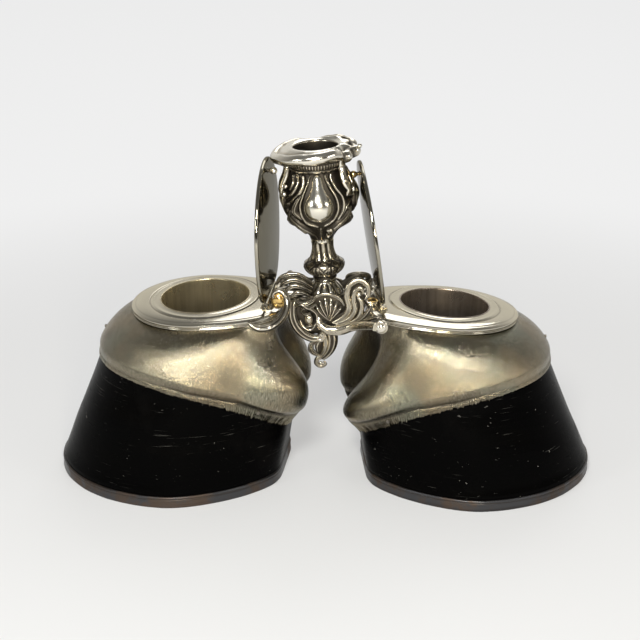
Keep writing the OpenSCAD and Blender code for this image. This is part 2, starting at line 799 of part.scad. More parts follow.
// a round bar swept along a curve; its ends close to small caps
module scroll(points) {
    q = curve(points);
    n = len(q);
    ring_solid([for (k = [0:n - 1])
        let (t = unit(place_of(q[min(k + 1, n - 1)]) - place_of(q[max(k - 1, 0)])),
             b = unit([0, 1, 0] - t * t[1] + [0, 0, 0.001]),
             m = cross(t, b))
        [for (i = [0:tube_sides - 1])
            let (a = 360 * i / tube_sides)
            place_of(q[k]) + q[k][3] * (cos(a) * m - sin(a) * b)]]);
}

// Front corner of a collar's heel end, where an arm takes hold
function corner(side, face) =
    row_point(side, top_point(side, [-collar_heel + 4, face * (collar_heel_half + 0.5),
                                     -collar_dome]));
ball_r = 3.4;
module apron(face) {
    y = face * apron_out;
    top = bell_z;
    low = apron_drop / 38;
    r = scroll_r;
    lc = corner(LEFT, face);
    rc = corner(RIGHT, face);
    lp = lc + [1, face * (r + 1.6), -2.5];
    rp = rc + [1.5, face * (ball_r + 1.7), -2];
    difference() {
        apron_scrolls(face, y, top, low, r, lc, rc, lp, rp);
        bridge_blank(seat_gap);
        translate([0, 0, bell_z])
            cylinder(r1 = bell_r * 1.08, r2 = neck_r * 1.1, h = bell_h, $fn = fine);
        for (side = [LEFT, RIGHT])
            top_frame(side)
                translate([-screw_back, -screw_front, seat_z])
                    cylinder(r = screw_head_r + clear, h = 14, $fn = fine / 2);
    }
}
module apron_scrolls(face, y, top, low, r, lc, rc, lp, rp) {
    // hub side, where the casting meets the bridge
    translate([0, face * (hub_r + 2), top - hub_h - 2]) sphere(r = 4.6, $fn = 14);
    // left S-scroll
    scroll([[-8, y * 0.6, top + 1, r * 0.8], [-15, y * 0.75, top + 2, r],
            [-19.5, y * 0.9, top - 3, r],
            [-19.5, y, top - 10 * low, r], [-17, y * 1.05, top - 17 * low, r],
            [-10, y * 1.1, top - 24 * low, r * 1.1], [-4, y * 1.08, top - 25 * low, r],
            [0.5, y * 1.05, top - 22.5 * low, r * 0.8], [0, y * 1.05, top - 18.5 * low, r * 0.7],
            [-3, y * 1.05, top - 19 * low, r * 0.6]]);
    // left arm, round the collar's corner
    scroll([[-18, y * 0.8, top - 3, r * 0.9], [-20.6, y * 1.2, top - 4.5, r],
            lerp([-20, y * 1.35, top - 6, r], concat(lp, [r]), 0.6),
            concat(lp, [r]), concat(lc + [-5, face * (r + 1), -3.5], [r * 0.9]),
            concat(lc + [-8.5, face * (r + 1.5), -1.5], [r * 0.7])]);
    // right C-scroll and arm
    scroll([[1.5, y * 1.05, top - 7, r * 0.6], [-2.7, y * 1.05, top - 9.5, r * 0.8],
            [-0.5, y * 1.1, top - 13.2, r], [4.4, y * 1.12, top - 15, r],
            [11, y * 1.15, top - 14.2, r * 1.1], [17, y * 1.3, top - 10.5, r * 1.1],
            lerp([17, y * 1.3, top - 10.5, r], concat(rp, [r]), 0.55), concat(rp, [r * 0.9])]);
    translate(rp) sphere(r = ball_r, $fn = 14);
    // shoulders
    scroll([[-3, y * 0.9, top - 3, r * 0.9], [-6, y * 0.7, top + 1, r * 0.9],
            [-10, y * 0.4, top + 6, r * 0.8],
            [-15, y * 0.4, top + 7.5, r], [-20, y * 0.4, top + 7, r * 0.9],
            [-22.6, y * 0.45, top + 3.5, r * 0.9], [-20, y * 0.5, top + 0.5, r * 0.8]]);
    scroll([[3, y * 0.9, top - 3, r * 0.9], [6, y * 0.7, top + 1, r * 0.9],
            [11, y * 0.4, top + 4.5, r * 0.8],
            [16, y * 0.4, top + 6, r], [20.5, y * 0.4, top + 5.5, r * 0.9],
            [21.4, y * 0.5, top + 2, r], [18, y * 0.8, top - 3, r],
            [15, y * 1, top - 5, r * 1.1], [9.5, y * 1.05, top - 2, r],
            [9.5, y * 1, top + 2, r * 0.8], [13, y * 0.95, top + 2.5, r * 0.7]]);
    // shell fan
    for (a = [-50:25:50])
        scroll([[1.5, y * 1.05, top - 8, r * 0.5],
                [1.5 + 5 * sin(a), y * 1.12, top - 8 + 5 * cos(a), r * 0.6],
                [1.5 + 9 * sin(a), y * 1.02, top - 8 + 9 * cos(a), r * 0.75]]);
    // cabochon and foliage
    translate([-8.5, y * 1.1, top - 12]) scale([1, 0.6, 1.2]) sphere(r = 4.2, $fn = 14);
    scroll([[-14, y * 1, top - 3, r * 0.8], [-9, y * 1.1, top - 5, r * 0.9],
            [-4, y * 1.1, top - 8, r * 0.7]]);
    scroll([[-12, y * 1.1, top - 20 * low, r * 0.8], [-6, y * 1.12, top - 17.5, r * 0.9],
            [-2, y * 1.1, top - 13.5, r * 0.8]]);
    // pendant
    scroll([[8, y * 1.1, top - 15, r * 0.8], [6.5, y * 1.06, top - 20 * low, r],
            [5, y * 1, top - 27 * low, r], [1.5, y * 0.95, top - 32 * low, r * 0.9],
            [-2.5, y * 0.9, top - 35.5 * low, r * 0.8], [-1.5, y * 0.9, top - 38 * low, r * 0.7],
            [1, y * 0.9, top - 36.8 * low, r * 0.6]]);
    scroll([[-7, y * 1.08, top - 25 * low, r * 0.8], [-6, y * 1.05, top - 30 * low, r * 0.9],
            [-1.5, y * 1, top - 31 * low, r * 0.8]]);
}
module apron_front() { color([0.6, 0.57, 0.5]) apron(-1); }
module apron_back() { color([0.6, 0.57, 0.5]) apron(1); }

module half(side, prefix) {
    hoof(side);
    shoe(side);
    sole_plate(side);
    shoe_pins(side);
    coronet(side);
    coronet_pins(side);
    collar(side);
    collar_wire(side);
    well_liner(side);
    hinge_knuckles(side);
    hinge_pin(side);
    lid(side);
    lid_knuckle(side);
    lid_knob(side);
}
half(LEFT, "left_");
half(RIGHT, "right_");
bridge();
bridge_screws();
apron_front();
apron_back();
bell();
knop();
nozzle();
nozzle_lip();
candle_socket();
tie_rod();
tie_nut();
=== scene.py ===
"""Double-hoof desk inkstand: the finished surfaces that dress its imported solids.

Two hooves with engraved plated mounts carry inkwells under hinged lids. A cast bridge with
scrolled aprons joins them and carries a candlestick. Shapes are worked out in millimetres
and put into meshes in metres, in the frame of the solids.
"""
import math
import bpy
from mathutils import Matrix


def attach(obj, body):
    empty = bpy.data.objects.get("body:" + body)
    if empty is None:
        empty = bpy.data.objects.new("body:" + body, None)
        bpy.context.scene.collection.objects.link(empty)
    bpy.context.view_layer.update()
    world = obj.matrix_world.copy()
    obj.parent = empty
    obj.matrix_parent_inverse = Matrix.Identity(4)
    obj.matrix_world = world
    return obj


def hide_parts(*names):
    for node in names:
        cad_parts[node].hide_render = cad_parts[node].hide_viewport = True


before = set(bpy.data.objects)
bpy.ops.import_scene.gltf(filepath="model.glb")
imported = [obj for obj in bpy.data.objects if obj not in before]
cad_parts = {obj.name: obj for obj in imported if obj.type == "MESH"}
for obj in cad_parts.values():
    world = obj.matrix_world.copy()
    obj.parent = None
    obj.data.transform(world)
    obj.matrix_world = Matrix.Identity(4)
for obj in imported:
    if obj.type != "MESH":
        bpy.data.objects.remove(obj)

from types import SimpleNamespace

import bpy
import numpy as np
from mathutils import Vector

bl_info = {
    "name": "Hoof Inkstand",
    "version": (1, 0, 0),
    "blender": (4, 5, 0),
    "location": "View3D > Sidebar > Inkstand",
    "description": "Builds the horn, plate and cast silver of a double-hoof desk inkstand",
    "category": "Add Mesh",
}

SIDES = {"left": -1.0, "right": 1.0}


# ---------------------------------------------------------------- settings
def length(label, text, default):
    """A length setting, given in millimetres."""
    return bpy.props.FloatProperty(
        name=label, description=text, default=default * 0.001, unit="LENGTH", precision=5)


def slope(label, text, default):
    """An angle setting, given in degrees."""
    return bpy.props.FloatProperty(
        name=label, description=text, default=math.radians(default), unit="ROTATION",
        subtype="ANGLE")


def tint(label, text, default):
    """A colour setting."""
    return bpy.props.FloatVectorProperty(
        name=label, description=text, default=default, size=3, min=0, max=1, subtype="COLOR")


class LayoutSizes(bpy.types.PropertyGroup):
    """Where the two halves stand"""
    well_x: length("Well distance", "From the middle to each well axis", 65.3)
    well_y: length("Well depth", "Well axes behind the middle", -1.7095)
    splay: slope("Splay", "Angle by which each toe swings to the back", 6)
    left_rim: length("Left rim height", "Height of the left well rim", 98.8)
    right_rim: length("Right rim height", "Height of the right well rim", 96)
    left_toe: slope("Left toe slope", "Slope of the left collar down to its toe", 2.8)
    right_toe: slope("Right toe slope", "Slope of the right collar down to its toe", 5)
    left_front: slope("Left front slope", "Slope of the left collar to the front", 2.4)
    right_front: slope("Right front slope", "Slope of the right collar to the front", -1.6)


class HoofSizes(bpy.types.PropertyGroup):
    """Horn, shoe and engraved mount"""
    left_hair: length("Left hairline", "Height of the left hairline at the toe", 68.3)
    right_hair: length("Right hairline", "Height of the right hairline at the toe", 65)
    hair_fall: length("Hairline fall", "Fall of the hairline from toe to heel", 36)
    shoe_h: length("Shoe height", "Height of the plated rim", 6.5)
    shoe_w: length("Shoe width", "Width of the rim under the horn", 10)
    proud: length("Shoe proud", "How far the rim stands out from the horn", 0.7)
    wall: length("Horn wall", "Thickness of the horn", 9)
    skin: length("Mount sheet", "Thickness of the mount's sheet", 1.2)
    bulb: length("Front heel bulb", "Pull of the curve that forms the front bulb", 35)
    back_bulb: length("Back heel bulb", "Pull of the curve that forms the back bulb", 25)
    cleft: length("Heel hollow", "Depth of the hollow between the bulbs", 28)
    swell: length("Mount swell", "How far the mount swells over its fringe", 1.9)
    strand: length("Hair strand", "Width of one strand of the fringe", 0.95)


class WellSizes(bpy.types.PropertyGroup):
    """Collar, well, hinge and lid"""
    well_r: length("Well radius", "Radius inside the liner", 24.3)
    well_depth: length("Well depth", "Depth of the well", 44)
    dome: length("Collar dome", "Rise of the collar from its edge to the rim", 2.4)
    edge: length("Collar edge", "Thickness of the collar's edge", 1.5)
    wire_h: length("Moulding height", "Height of the moulding under the collar", 1.6)
    hinge_back: length("Hinge distance", "From the well axis to the hinge axis", 35.5)
    hinge_z: length("Hinge height", "Hinge axis over the collar's rim", 0.6)
    barrel_r: length("Barrel radius", "Radius of the hinge barrels", 1.7)
    lid_t: length("Lid thickness", "Thickness of the lid's edge", 1.9)
    lid_dome: length("Lid dome", "Rise of the lid's face", 1)
    knob_r: length("Knob radius", "Radius of the thumb knob", 2)
    left_open: slope("Left lid angle", "Angle at which the left lid stands", 91.8)
    right_open: slope("Right lid angle", "Angle at which the right lid stands", 103.3)


class CandlestickSizes(bpy.types.PropertyGroup):
    """Bridge, aprons and candlestick"""
    bell_z: length("Hub height", "Height of the hub's top", 100)
    bell_h: length("Bell height", "Height of the fluted bell", 10)
    bell_r: length("Bell radius", "Radius of the bell's foot", 10.5)
    knop_h: length("Knop height", "Height of the knop and neck", 21)
    knop_r: length("Knop radius", "Radius of the knop", 11.2)
    cup_h: length("Cup height", "Height of the cup", 43)
    lip_r: length("Lip radius", "Radius of the lip", 23)
    socket_r: length("Socket radius", "Radius inside the candle socket", 11.3)
    lean: slope("Lean", "Lean of the candlestick to the left", 4)
    apron_out: length("Apron depth", "How far the aprons stand out", 16)
    bar_r: length("Scroll thickness", "Thickness of the main scrolls", 2.6)


class FinishColours(bpy.types.PropertyGroup):
    """Colours of the horn and the metals"""
    horn: tint("Horn", "Polished horn", (0.002, 0.0019, 0.0019))
    silver: tint("Silver", "Polished plate", (0.68, 0.635, 0.53))
    satin: tint("Satin plate", "Engraved plate", (0.28, 0.25, 0.18))
    # tarnish colours the points marked as shaded: real oxide in grooves, and painted shade on
    # undersides, backs and gaps
    tarnish: tint("Tarnish", "Oxide in the hollows", (0.045, 0.038, 0.03))
    copper: tint("Copper", "Copper worn through the plate", (0.24, 0.155, 0.10))
    gilt: tint("Gilt", "Lining of the left well", (0.62, 0.54, 0.36))
    brass: tint("Brass", "Screws and golden knob", (0.80, 0.56, 0.22))


def in_mm(group):
    """The group's lengths in millimetres and its angles in degrees, by name."""
    out = SimpleNamespace()
    for key in group.__annotations__:
        value, unit = getattr(group, key), group.bl_rna.properties[key].unit
        scale = 1000 if unit == "LENGTH" else 180 / math.pi if unit == "ROTATION" else 1
        setattr(out, key, value * scale)
    return out


# ---------------------------------------------------------------- curves and frames
# D outlines: (toe, heel, half width, where the sides begin, half width at the heel)
GROUND = (82, 43.5, 63, 14, 34)
HAIR = (57.5, 47, 53, 9, 28)
COLLAR = (40.6, 43.3, 36.2, 2, 27)
LID = (41.5, 33.2, 36.5, 2, 29)
# from the lid's toe to its knob
KNOB_IN = 6
# half lengths along y of the hinge's middle barrel and of the whole hinge
BARREL_MID, BARREL_END = 7, 16.3
# the bridge's pads in a collar's frame: from and to along x, half length along y, thickness
PAD_FROM, PAD_TO, PAD_HALF, PAD_T = -44.3, -37.55, 8.95, 2.4


def smooth(low, high, v):
    """0 below low, 1 above high, 3t^2 - 2t^3 between."""
    t = np.clip((v - low) / (high - low), 0, 1)
    return t * t * (3 - 2 * t)


def bump(v, centre, width):
    """Bell curve exp(-((v - centre) / width)^2)."""
    return np.exp(-((v - centre) / width) ** 2)


def outline(shape, a):
    """D-shaped outline at angles a: half an ellipse round the toe, then sides that
    converge as a power of the way back to a heel squared by |sin a|^0.32."""
    toe, heel, half, wide, heel_half = shape
    c, s = np.cos(a), np.sin(a)
    x = wide - (heel + wide) * np.abs(c) ** 0.62
    q = np.clip((wide - x) / (wide + heel), 0, 1)
    w = half - (half - heel_half) * q ** 1.6
    back = np.stack([x, w * np.sign(s) * np.abs(s) ** 0.32], -1)
    front = np.stack([wide + (toe - wide) * c, half * s], -1)
    return np.where((c >= 0)[..., None], front, back)


def even_angles(shape, n):
    """n angles that divide an outline into equal lengths, starting at the heel."""
    w = np.linspace(-1, 1, 24001)
    a = np.sign(w) * np.pi * (1 - (1 - np.abs(w)) ** 3)
    p = outline(shape, a)
    run = np.concatenate([[0], np.cumsum(np.linalg.norm(np.diff(p, axis=0), axis=1))])
    return np.interp(np.arange(n) / n * run[-1], run, a)


def outward(p):
    """Unit normals of a closed counter-clockwise line, from its neighbours' chord."""
    d = np.roll(p, -1, 0) - np.roll(p, 1, 0)
    n = np.stack([d[:, 1], -d[:, 0]], -1)
    return n / np.maximum(np.linalg.norm(n, axis=1, keepdims=True), 1e-9)


def turn(axis, degrees):
    """Rotation matrix about x, y or z."""
    c, s = math.cos(math.radians(degrees)), math.sin(math.radians(degrees))
    i, j = {"x": (1, 2), "y": (2, 0), "z": (0, 1)}[axis]
    m = np.eye(3)
    m[i, i] = m[j, j] = c
    m[i, j], m[j, i] = -s, s
    return m


def flat3(p, z):
    """Plan points (n, 2) lifted to height z."""
    z = np.broadcast_to(z, p.shape[:-1])
    return np.concatenate([p, z[..., None]], -1)


class Stand:
    """Settings of the stand, and its frames as functions from a piece's own frame to the
    row frame. side is -1 on the left and 1 on the right."""

    def __init__(self, scene):
        self.lay, self.hoof = in_mm(scene.inkstand_layout), in_mm(scene.inkstand_hoof)
        self.well, self.stick = in_mm(scene.inkstand_well), in_mm(scene.inkstand_candlestick)
        w = self.well
        # the collar's underside and the flat seat under the hinge, from the well's rim
        self.collar_low = -w.dome - w.edge
        self.seat = w.hinge_z - w.barrel_r - 0.3
        # the lid's rim strip, from the hinge axis
        self.lid_low = -0.2 - w.hinge_z

    def pick(self, name, side):
        """The left or right value of a setting."""
        word = "left_" if side < 0 else "right_"
        groups = (self.lay, self.hoof, self.well)
        return next(getattr(g, word + name) for g in groups if hasattr(g, word + name))

    def from_hoof(self, side, p):
        """Turned by the splay, moved to the well axis, and mirrored on the left."""
        q = p @ turn("z", self.lay.splay).T + [self.lay.well_x, self.lay.well_y, 0]
        return q * [side, 1, 1]

    def top_to_hoof(self, side, p):
        """Sloped as the collar and lifted to the rim."""
        m = turn("y", self.pick("toe", side)) @ turn("x", self.pick("front", side))
        return p @ m.T + [0, 0, self.pick("rim", side)]

    def from_top(self, side, p):
        """From the middle of the well's rim."""
        return self.from_hoof(side, self.top_to_hoof(side, p))

    def from_hinge(self, side, p):
        """From the hinge axis, which lies along y."""
        return self.from_top(side, p + [-self.well.hinge_back, 0, self.well.hinge_z])

    def from_lid(self, side, p):
        """A lid is shaped closed and then turned open about the hinge axis."""
        return self.from_hinge(side, p @ turn("y", -self.pick("open", side)).T)

    def from_stick(self, p):
        """The candlestick leans to the left above the bell."""
        return p @ turn("y", -self.stick.lean).T + [0, 0, self.stick.bell_z + self.stick.bell_h]


# ---------------------------------------------------------------- meshes
class Shell:
    """Collects grids of points, in millimetres of the row frame, into one mesh."""

    def __init__(self):
        self.points, self.hollow, self.corners, self.counts, self.uv = [], [], [], [], []
        self.total = 0

    def add(self, points, faces, uv, hollow):
        """Adds points and the faces between them, numbered from the first of them."""
        self.points.append(points)
        self.hollow.append(hollow)
        self.corners.append((faces + self.total).ravel())
        self.counts.append(np.full(len(faces), faces.shape[1]))
        self.uv.append(uv.reshape(-1, 2))
        self.total += len(points)

    def grid(self, p, loop=False, flip=False, hollow=0.0, ends=True, span=None):
        """Rows of points (rows, columns, 3). Columns always close round. With loop the last
        row joins the first; otherwise each end row closes to its middle point."""
        rows, cols = p.shape[:2]
        k, i = np.meshgrid(np.arange(rows if loop else rows - 1), np.arange(cols), indexing="ij")
        low, high = k * cols, (k + 1) % rows * cols
        j = (i + 1) % cols
        faces = np.stack([low + i, low + j, high + j, high + i], -1).reshape(-1, 4)
        if span is None:
            around = np.linalg.norm(np.roll(p, -1, 1) - p, axis=2).sum(1).max()
            up = np.linalg.norm(np.diff(p, axis=0), axis=2).mean(1).cumsum()
            span = (around, np.concatenate([[0], up, up[-1:] + 1]))
        u, v = span[0] / cols, span[1]
        uv = np.stack([
            np.stack([i * u, v[k]], -1), np.stack([(i + 1) * u, v[k]], -1),
            np.stack([(i + 1) * u, v[k + 1]], -1), np.stack([i * u, v[k + 1]], -1)], 2)
        uv = uv.reshape(-1, 4, 2)
        if flip:
            faces, uv = faces[:, ::-1], uv[:, ::-1]
        dark = np.broadcast_to(hollow, (rows, cols)).ravel().astype(float)
        base = self.total
        self.add(p.reshape(-1, 3), faces, uv, dark)
        if not loop and ends:
            for row, start in ((0, 0), (rows - 1, (rows - 1) * cols)):
                ring, nxt = start + np.arange(cols), start + (np.arange(cols) + 1) % cols
                hub = np.full(cols, self.total - base)
                order = [hub, nxt, ring] if row == 0 else [hub, ring, nxt]
                tri = np.stack(order[::-1] if flip else order, -1)
                self.add(p[row].mean(0, keepdims=True), tri - (self.total - base),
                         np.zeros((cols, 3, 2)), np.array([dark[start]]))
        return self

    def mesh(self, name, crease):
        """The mesh in metres, smooth except where faces meet more sharply than crease."""
        mesh = bpy.data.meshes.new(name)
        points, corners = np.concatenate(self.points) * 0.001, np.concatenate(self.corners)
        counts = np.concatenate(self.counts)
        mesh.vertices.add(len(points))
        mesh.vertices.foreach_set("co", points.ravel())
        mesh.loops.add(len(corners))
        mesh.loops.foreach_set("vertex_index", corners.astype(np.int32))
        mesh.polygons.add(len(counts))
        mesh.polygons.foreach_set(
            "loop_start", np.concatenate([[0], counts.cumsum()[:-1]]).astype(np.int32))
        mesh.uv_layers.new(name="Surface").data.foreach_set(
            "uv", (np.concatenate(self.uv) * 0.001).ravel())
        mesh.attributes.new("hollow", "FLOAT", "POINT").data.foreach_set(
            "value", np.concatenate(self.hollow))
        mesh.update(calc_edges=True)
        mesh.validate()
        mesh.shade_smooth()
        mesh.set_sharp_from_angle(angle=math.radians(crease))
        return mesh


def place(name, shell, material, body, nodes, crease):
    """Makes the piece, gives it its finish, and lets it ride in place of its nodes."""
    obj = bpy.data.objects.new(name, shell.mesh(name, crease))
    bpy.context.scene.collection.objects.link(obj)
    obj.data.materials.append(material)
    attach(obj, body)
    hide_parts(*nodes)


def spun(profile, angles, swell=0.0):
    """Profile points (radius, height) carried round the z axis; swell is added to the
    radius at every row and angle."""
    profile = np.asarray(profile, float)
    r = profile[:, :1] + swell + 0 * angles
    z = profile[:, 1:2] + 0 * angles
    return np.stack([r * np.cos(angles), r * np.sin(angles), z], -1)


def eased(points, n):
    """A smooth line through points: Catmull-Rom, sampled n times for each stretch."""
    p = np.asarray(points, float)
    q = np.concatenate([2 * p[:1] - p[1:2], p, 2 * p[-1:] - p[-2:-1]])
    t = np.arange(n)[None, :, None] / n
    a, b, c, d = (q[k:len(q) - 3 + k][:, None, :] for k in range(4))
    line = 0.5 * (2 * b + (c - a) * t + (2 * a - 5 * b + 4 * c - d) * t ** 2
                  + (3 * b - a - 3 * c + d) * t ** 3)
    return np.concatenate([line.reshape(-1, p.shape[1]), p[-1:]])


def bar(shell, points, flat=0.8, grooves=2, depth=0.16, facing=(0, -1, 0), steps=7, sides=22,
        back=0.4, ground=0.0):
    """A cast scroll: a rounded section carried along an eased line of (x, y, z, radius).
    The section is flat times as deep as it is wide, and its radius dips by depth at its
    grooves. Its front faces facing. Painted shade darkens it by ground all over, by back on its
    rear, and along its grooves, where oxide lies too."""
    q = eased(points, steps)
    p, r = q[:, :3], np.maximum(q[:, 3], 0.05)
    t = np.gradient(p, axis=0)
    t /= np.linalg.norm(t, axis=1, keepdims=True)
    f = np.broadcast_to(np.asarray(facing, float), t.shape)
    b = f - t * (f * t).sum(1, keepdims=True)
    b /= np.maximum(np.linalg.norm(b, axis=1, keepdims=True), 1e-6)
    m = np.cross(b, t)
    a = np.linspace(0, 2 * np.pi, sides, endpoint=False)
    front = np.abs(np.sin(a))
    groove = 0.5 + 0.5 * np.cos(2 * grooves * (a - np.pi / 2) + np.pi * (grooves % 2 + 1))
    reach = r[:, None] * (1 - depth * front * groove)[None, :]
    ring = p[:, None] + reach[..., None] * (
        np.cos(a)[None, :, None] * m[:, None] + flat * np.sin(a)[None, :, None] * b[:, None])
    dark = np.clip(ground + front * groove * (0.9 if grooves > 1 else 0.3)
                   + back * np.clip(0.25 - np.sin(a), 0, 1), 0, 1)
    shell.grid(ring, hollow=np.broadcast_to(dark, ring.shape[:2]))
    return shell


def curl(centre, start, size, turns, radius, y, end=0.45):
    """Points of a clockwise volute that winds in to its eye at depth y: its distance from
    the eye falls as (1 - k)^0.8 and its radius evenly, with k the share of the way."""
    n = max(int(turns * 7), 4)
    k = np.linspace(0, 1, n)
    a = math.radians(start) - 2 * np.pi * turns * k
    s = size * (1 - k) ** 0.8 + radius * 0.45
    return np.stack([centre[0] + s * np.cos(a), np.full(n, y), centre[1] + s * np.sin(a),
                     radius * (1 - (1 - end) * k)], -1).tolist()


def dome(shell, centre, size, facing=-1, rows=12, cols=24, hollow=0.0):
    """A boss: half an ellipsoid of half-sizes (x, y, z) that faces -y or +y, closed behind."""
    e = np.linspace(-0.25, 1, rows)[:, None] * np.pi / 2
    a = np.linspace(0, 2 * np.pi, cols, endpoint=False)[None]
    p = np.stack([np.cos(e) * np.cos(a) * size[0], facing * np.sin(e) * size[1] + 0 * a,
                  -facing * np.cos(e) * np.sin(a) * size[2]], -1)
    # painted shade at the boss's foot and back, plus the given share all over
    dark = np.broadcast_to(np.clip(0.9 - 1.6 * np.sin(e), 0, 1) + hollow, p.shape[:2])
    return shell.grid(p + centre, hollow=dark)


# ---------------------------------------------------------------- finishes
class Wire:
    """A value or colour on its way between nodes; arithmetic on it adds Math nodes."""

    def __init__(self, finish, socket):
        self.finish, self.socket = finish, socket

    def math(self, operation, *values, clamp=False):
        """A Math node over values or wires."""
        settings = {"operation": operation, "use_clamp": clamp}
        return self.finish.node("ShaderNodeMath", settings, dict(enumerate(values)))

    def __add__(self, other):
        return self.math("ADD", self, other)

    def __sub__(self, other):
        return self.math("SUBTRACT", self, other)

    def __rsub__(self, other):
        return self.math("SUBTRACT", other, self)

    def __mul__(self, other):
        return self.math("MULTIPLY", self, other)

    __radd__, __rmul__ = __add__, __mul__

    def clip(self):
        """Held between 0 and 1."""
        return self.math("ADD", self, 0.0, clamp=True)

    def above(self, low, high):
        """Smooth step from 0 at low to 1 at high."""
        return self.finish.node("ShaderNodeMapRange", {"interpolation_type": "SMOOTHSTEP"},
                                {"Value": self, "From Min": low, "From Max": high})


class Finish:
    """One material and its node tree."""

    def __init__(self, name):
        self.material = bpy.data.materials.new(name)
        self.material.use_nodes = True
        self.tree = self.material.node_tree
        self.tree.nodes.clear()

    def node(self, kind, settings=None, sockets=None, output=0):
        """A node of a kind: its settings first, then the values or links of its sockets."""
        node = self.tree.nodes.new(kind)
        for key, value in (settings or {}).items():
            setattr(node, key, value)
        for key, value in (sockets or {}).items():
            if isinstance(value, Wire):
                self.tree.links.new(value.socket, node.inputs[key])
            else:
                node.inputs[key].default_value = value
        return Wire(self, node.outputs[output]) if len(node.outputs) else None

    def place(self):
        """Position in metres of the row frame."""
        return self.node("ShaderNodeTexCoord", output="Object")

    def surface_uv(self):
        """Position along the surface, in metres round it and up it."""
        return self.node("ShaderNodeTexCoord", output="UV")

    def hollow(self):
        """How much painted shade each point carries, 0 to 1, with real oxide where it lies in
        grooves: set on grooves, recesses, undersides and backs.
        """
        return self.node("ShaderNodeAttribute", {"attribute_name": "hollow"}, output="Fac")

    def stretched(self, vector, scale):
        """A position scaled by its own factor along each axis."""
        return self.node("ShaderNodeMapping", None, {"Vector": vector, "Scale": scale})

    def noise(self, vector, scale, detail=4.0, roughness=0.55, distortion=0.0):
        """Cloudy noise in 0..1, scale cells to the metre."""
        return self.node("ShaderNodeTexNoise", None, {
            "Vector": vector, "Scale": scale, "Detail": detail, "Roughness": roughness,
            "Distortion": distortion})

    def mix(self, share, first, second):
        """Colour between two, by share."""
        return self.node("ShaderNodeMix", {"data_type": "RGBA"},
                         {0: share, 6: colour(first), 7: colour(second)}, output=2)

    def relief(self, height, distance, strength=1.0):
        """Bump from a height in 0..1 that stands for distance in metres."""
        return self.node("ShaderNodeBump", None, {
            "Height": height, "Distance": distance, "Strength": strength})

    def skin(self, base, roughness, metallic=1.0, normal=None, **constants):
        """Principled surface, wired to the output."""
        sockets = {"Base Color": colour(base), "Roughness": roughness, "Metallic": metallic}
        sockets.update({k.replace("_", " "): v for k, v in constants.items()})
        if normal is not None:
            sockets["Normal"] = normal
        shader = self.node("ShaderNodeBsdfPrincipled", None, sockets)
        self.node("ShaderNodeOutputMaterial", None, {"Surface": shader})
        return self.material


def colour(value):
    """A wire as it is, or a plain colour with full alpha."""
    return value if isinstance(value, Wire) else (*tuple(value)[:3], 1.0)


def shade(base, factor):
    """A colour made darker or lighter by a plain factor."""
    return tuple(min(c * factor, 1.0) for c in tuple(base)[:3])


def polished_horn(colours):
    """Black horn, polished: faint growth bands, fine scratches, pale specks and chips."""
    f = Finish("polished horn")
    at = f.place()
    bands = f.noise(f.stretched(at, (9, 9, 60)), 1.0, 5)
    cloudy = f.noise(at, 45, 5).above(0.55, 0.8)
    long = f.noise(f.stretched(at, (45, 45, 1500)), 1.0, 2, 0.5, 0.6).above(0.66, 0.72)
    patch = f.noise(at, 38, 3).above(0.5, 0.62)
    chip = f.noise(f.stretched(at, (190, 190, 520)), 1.0, 3, 0.6, 0.5).above(0.71, 0.75)
    speck = f.noise(at, 620, 2, 0.4).above(0.74, 0.78) * f.noise(at, 60, 2).above(0.45, 0.6)
    base = f.mix(bands.above(0.45, 0.8) * 0.5, shade(colours.horn, 0.4), (0.0015, 0.0013, 0.001))
    base = f.mix(cloudy * 0.3, base, (0.005, 0.0045, 0.004))
    base = f.mix((long * patch * 0.12 + speck * 0.5 + chip * 0.2).clip(), base,
                 (0.30, 0.29, 0.26))
    rough = 0.26 + 0.2 * cloudy + 0.3 * long + 0.3 * chip
    height = 0.4 * f.noise(f.stretched(at, (60, 60, 260)), 1.0, 4) - 0.4 * long * patch \
        - 0.6 * speck - 0.8 * chip
    return f.skin(base, rough, 0.0, f.relief(height, 0.00012), Coat_Weight=0.015,
                  Coat_Roughness=0.15, Specular_IOR_Level=0.12, IOR=1.16)


def engraved_plate(colours):
    """Satin plate engraved as hair: short fine strokes that run down the mount over longer
    waves, tinted green, gold and pink by a thin tarnish, and darkened by painted shade, with
    some oxide, in the crease, the heel cleft, under the collar and between the strands."""
    f = Finish("engraved plate")
    uv, at = f.surface_uv(), f.place()
    strokes = f.noise(f.stretched(uv, (2300, 520, 1)), 1.0, 3, 0.6, 0.7)
    coarse = f.noise(f.stretched(uv, (900, 130, 1)), 1.0, 3, 0.5, 1.0)
    cloud, fine = f.noise(at, 24, 4, 0.6), f.noise(at, 130, 4, 0.6)
    warm, cool = f.noise(at, 31, 2).above(0.45, 0.65), f.noise(at, 37, 2).above(0.5, 0.68)
    hollow = f.hollow()
    base = f.mix(warm * 0.5, colours.satin, (0.42, 0.33, 0.21))
    base = f.mix(cool * 0.45, base, (0.29, 0.32, 0.25))
    stain = (cloud.above(0.45, 0.72) * 0.45 + fine.above(0.5, 0.8) * 0.12).clip()
    base = f.mix(stain, base, (0.15, 0.125, 0.09))
    base = f.mix(strokes.above(0.52, 0.68) * 0.7, base, (0.10, 0.088, 0.066))
    base = f.mix((1 - strokes).above(0.56, 0.7) * 0.5, base, (0.78, 0.73, 0.60))
    # painted shade, with some oxide in the engraving: near black where the mount is marked shaded
    base = f.mix((hollow * 0.95).clip(), base, (0.035, 0.03, 0.024))
    rough = 0.18 + 0.08 * cloud + 0.12 * stain
    return f.skin(base, rough, 1.0, f.relief(strokes + coarse * 0.7, 0.00027, 1.0))


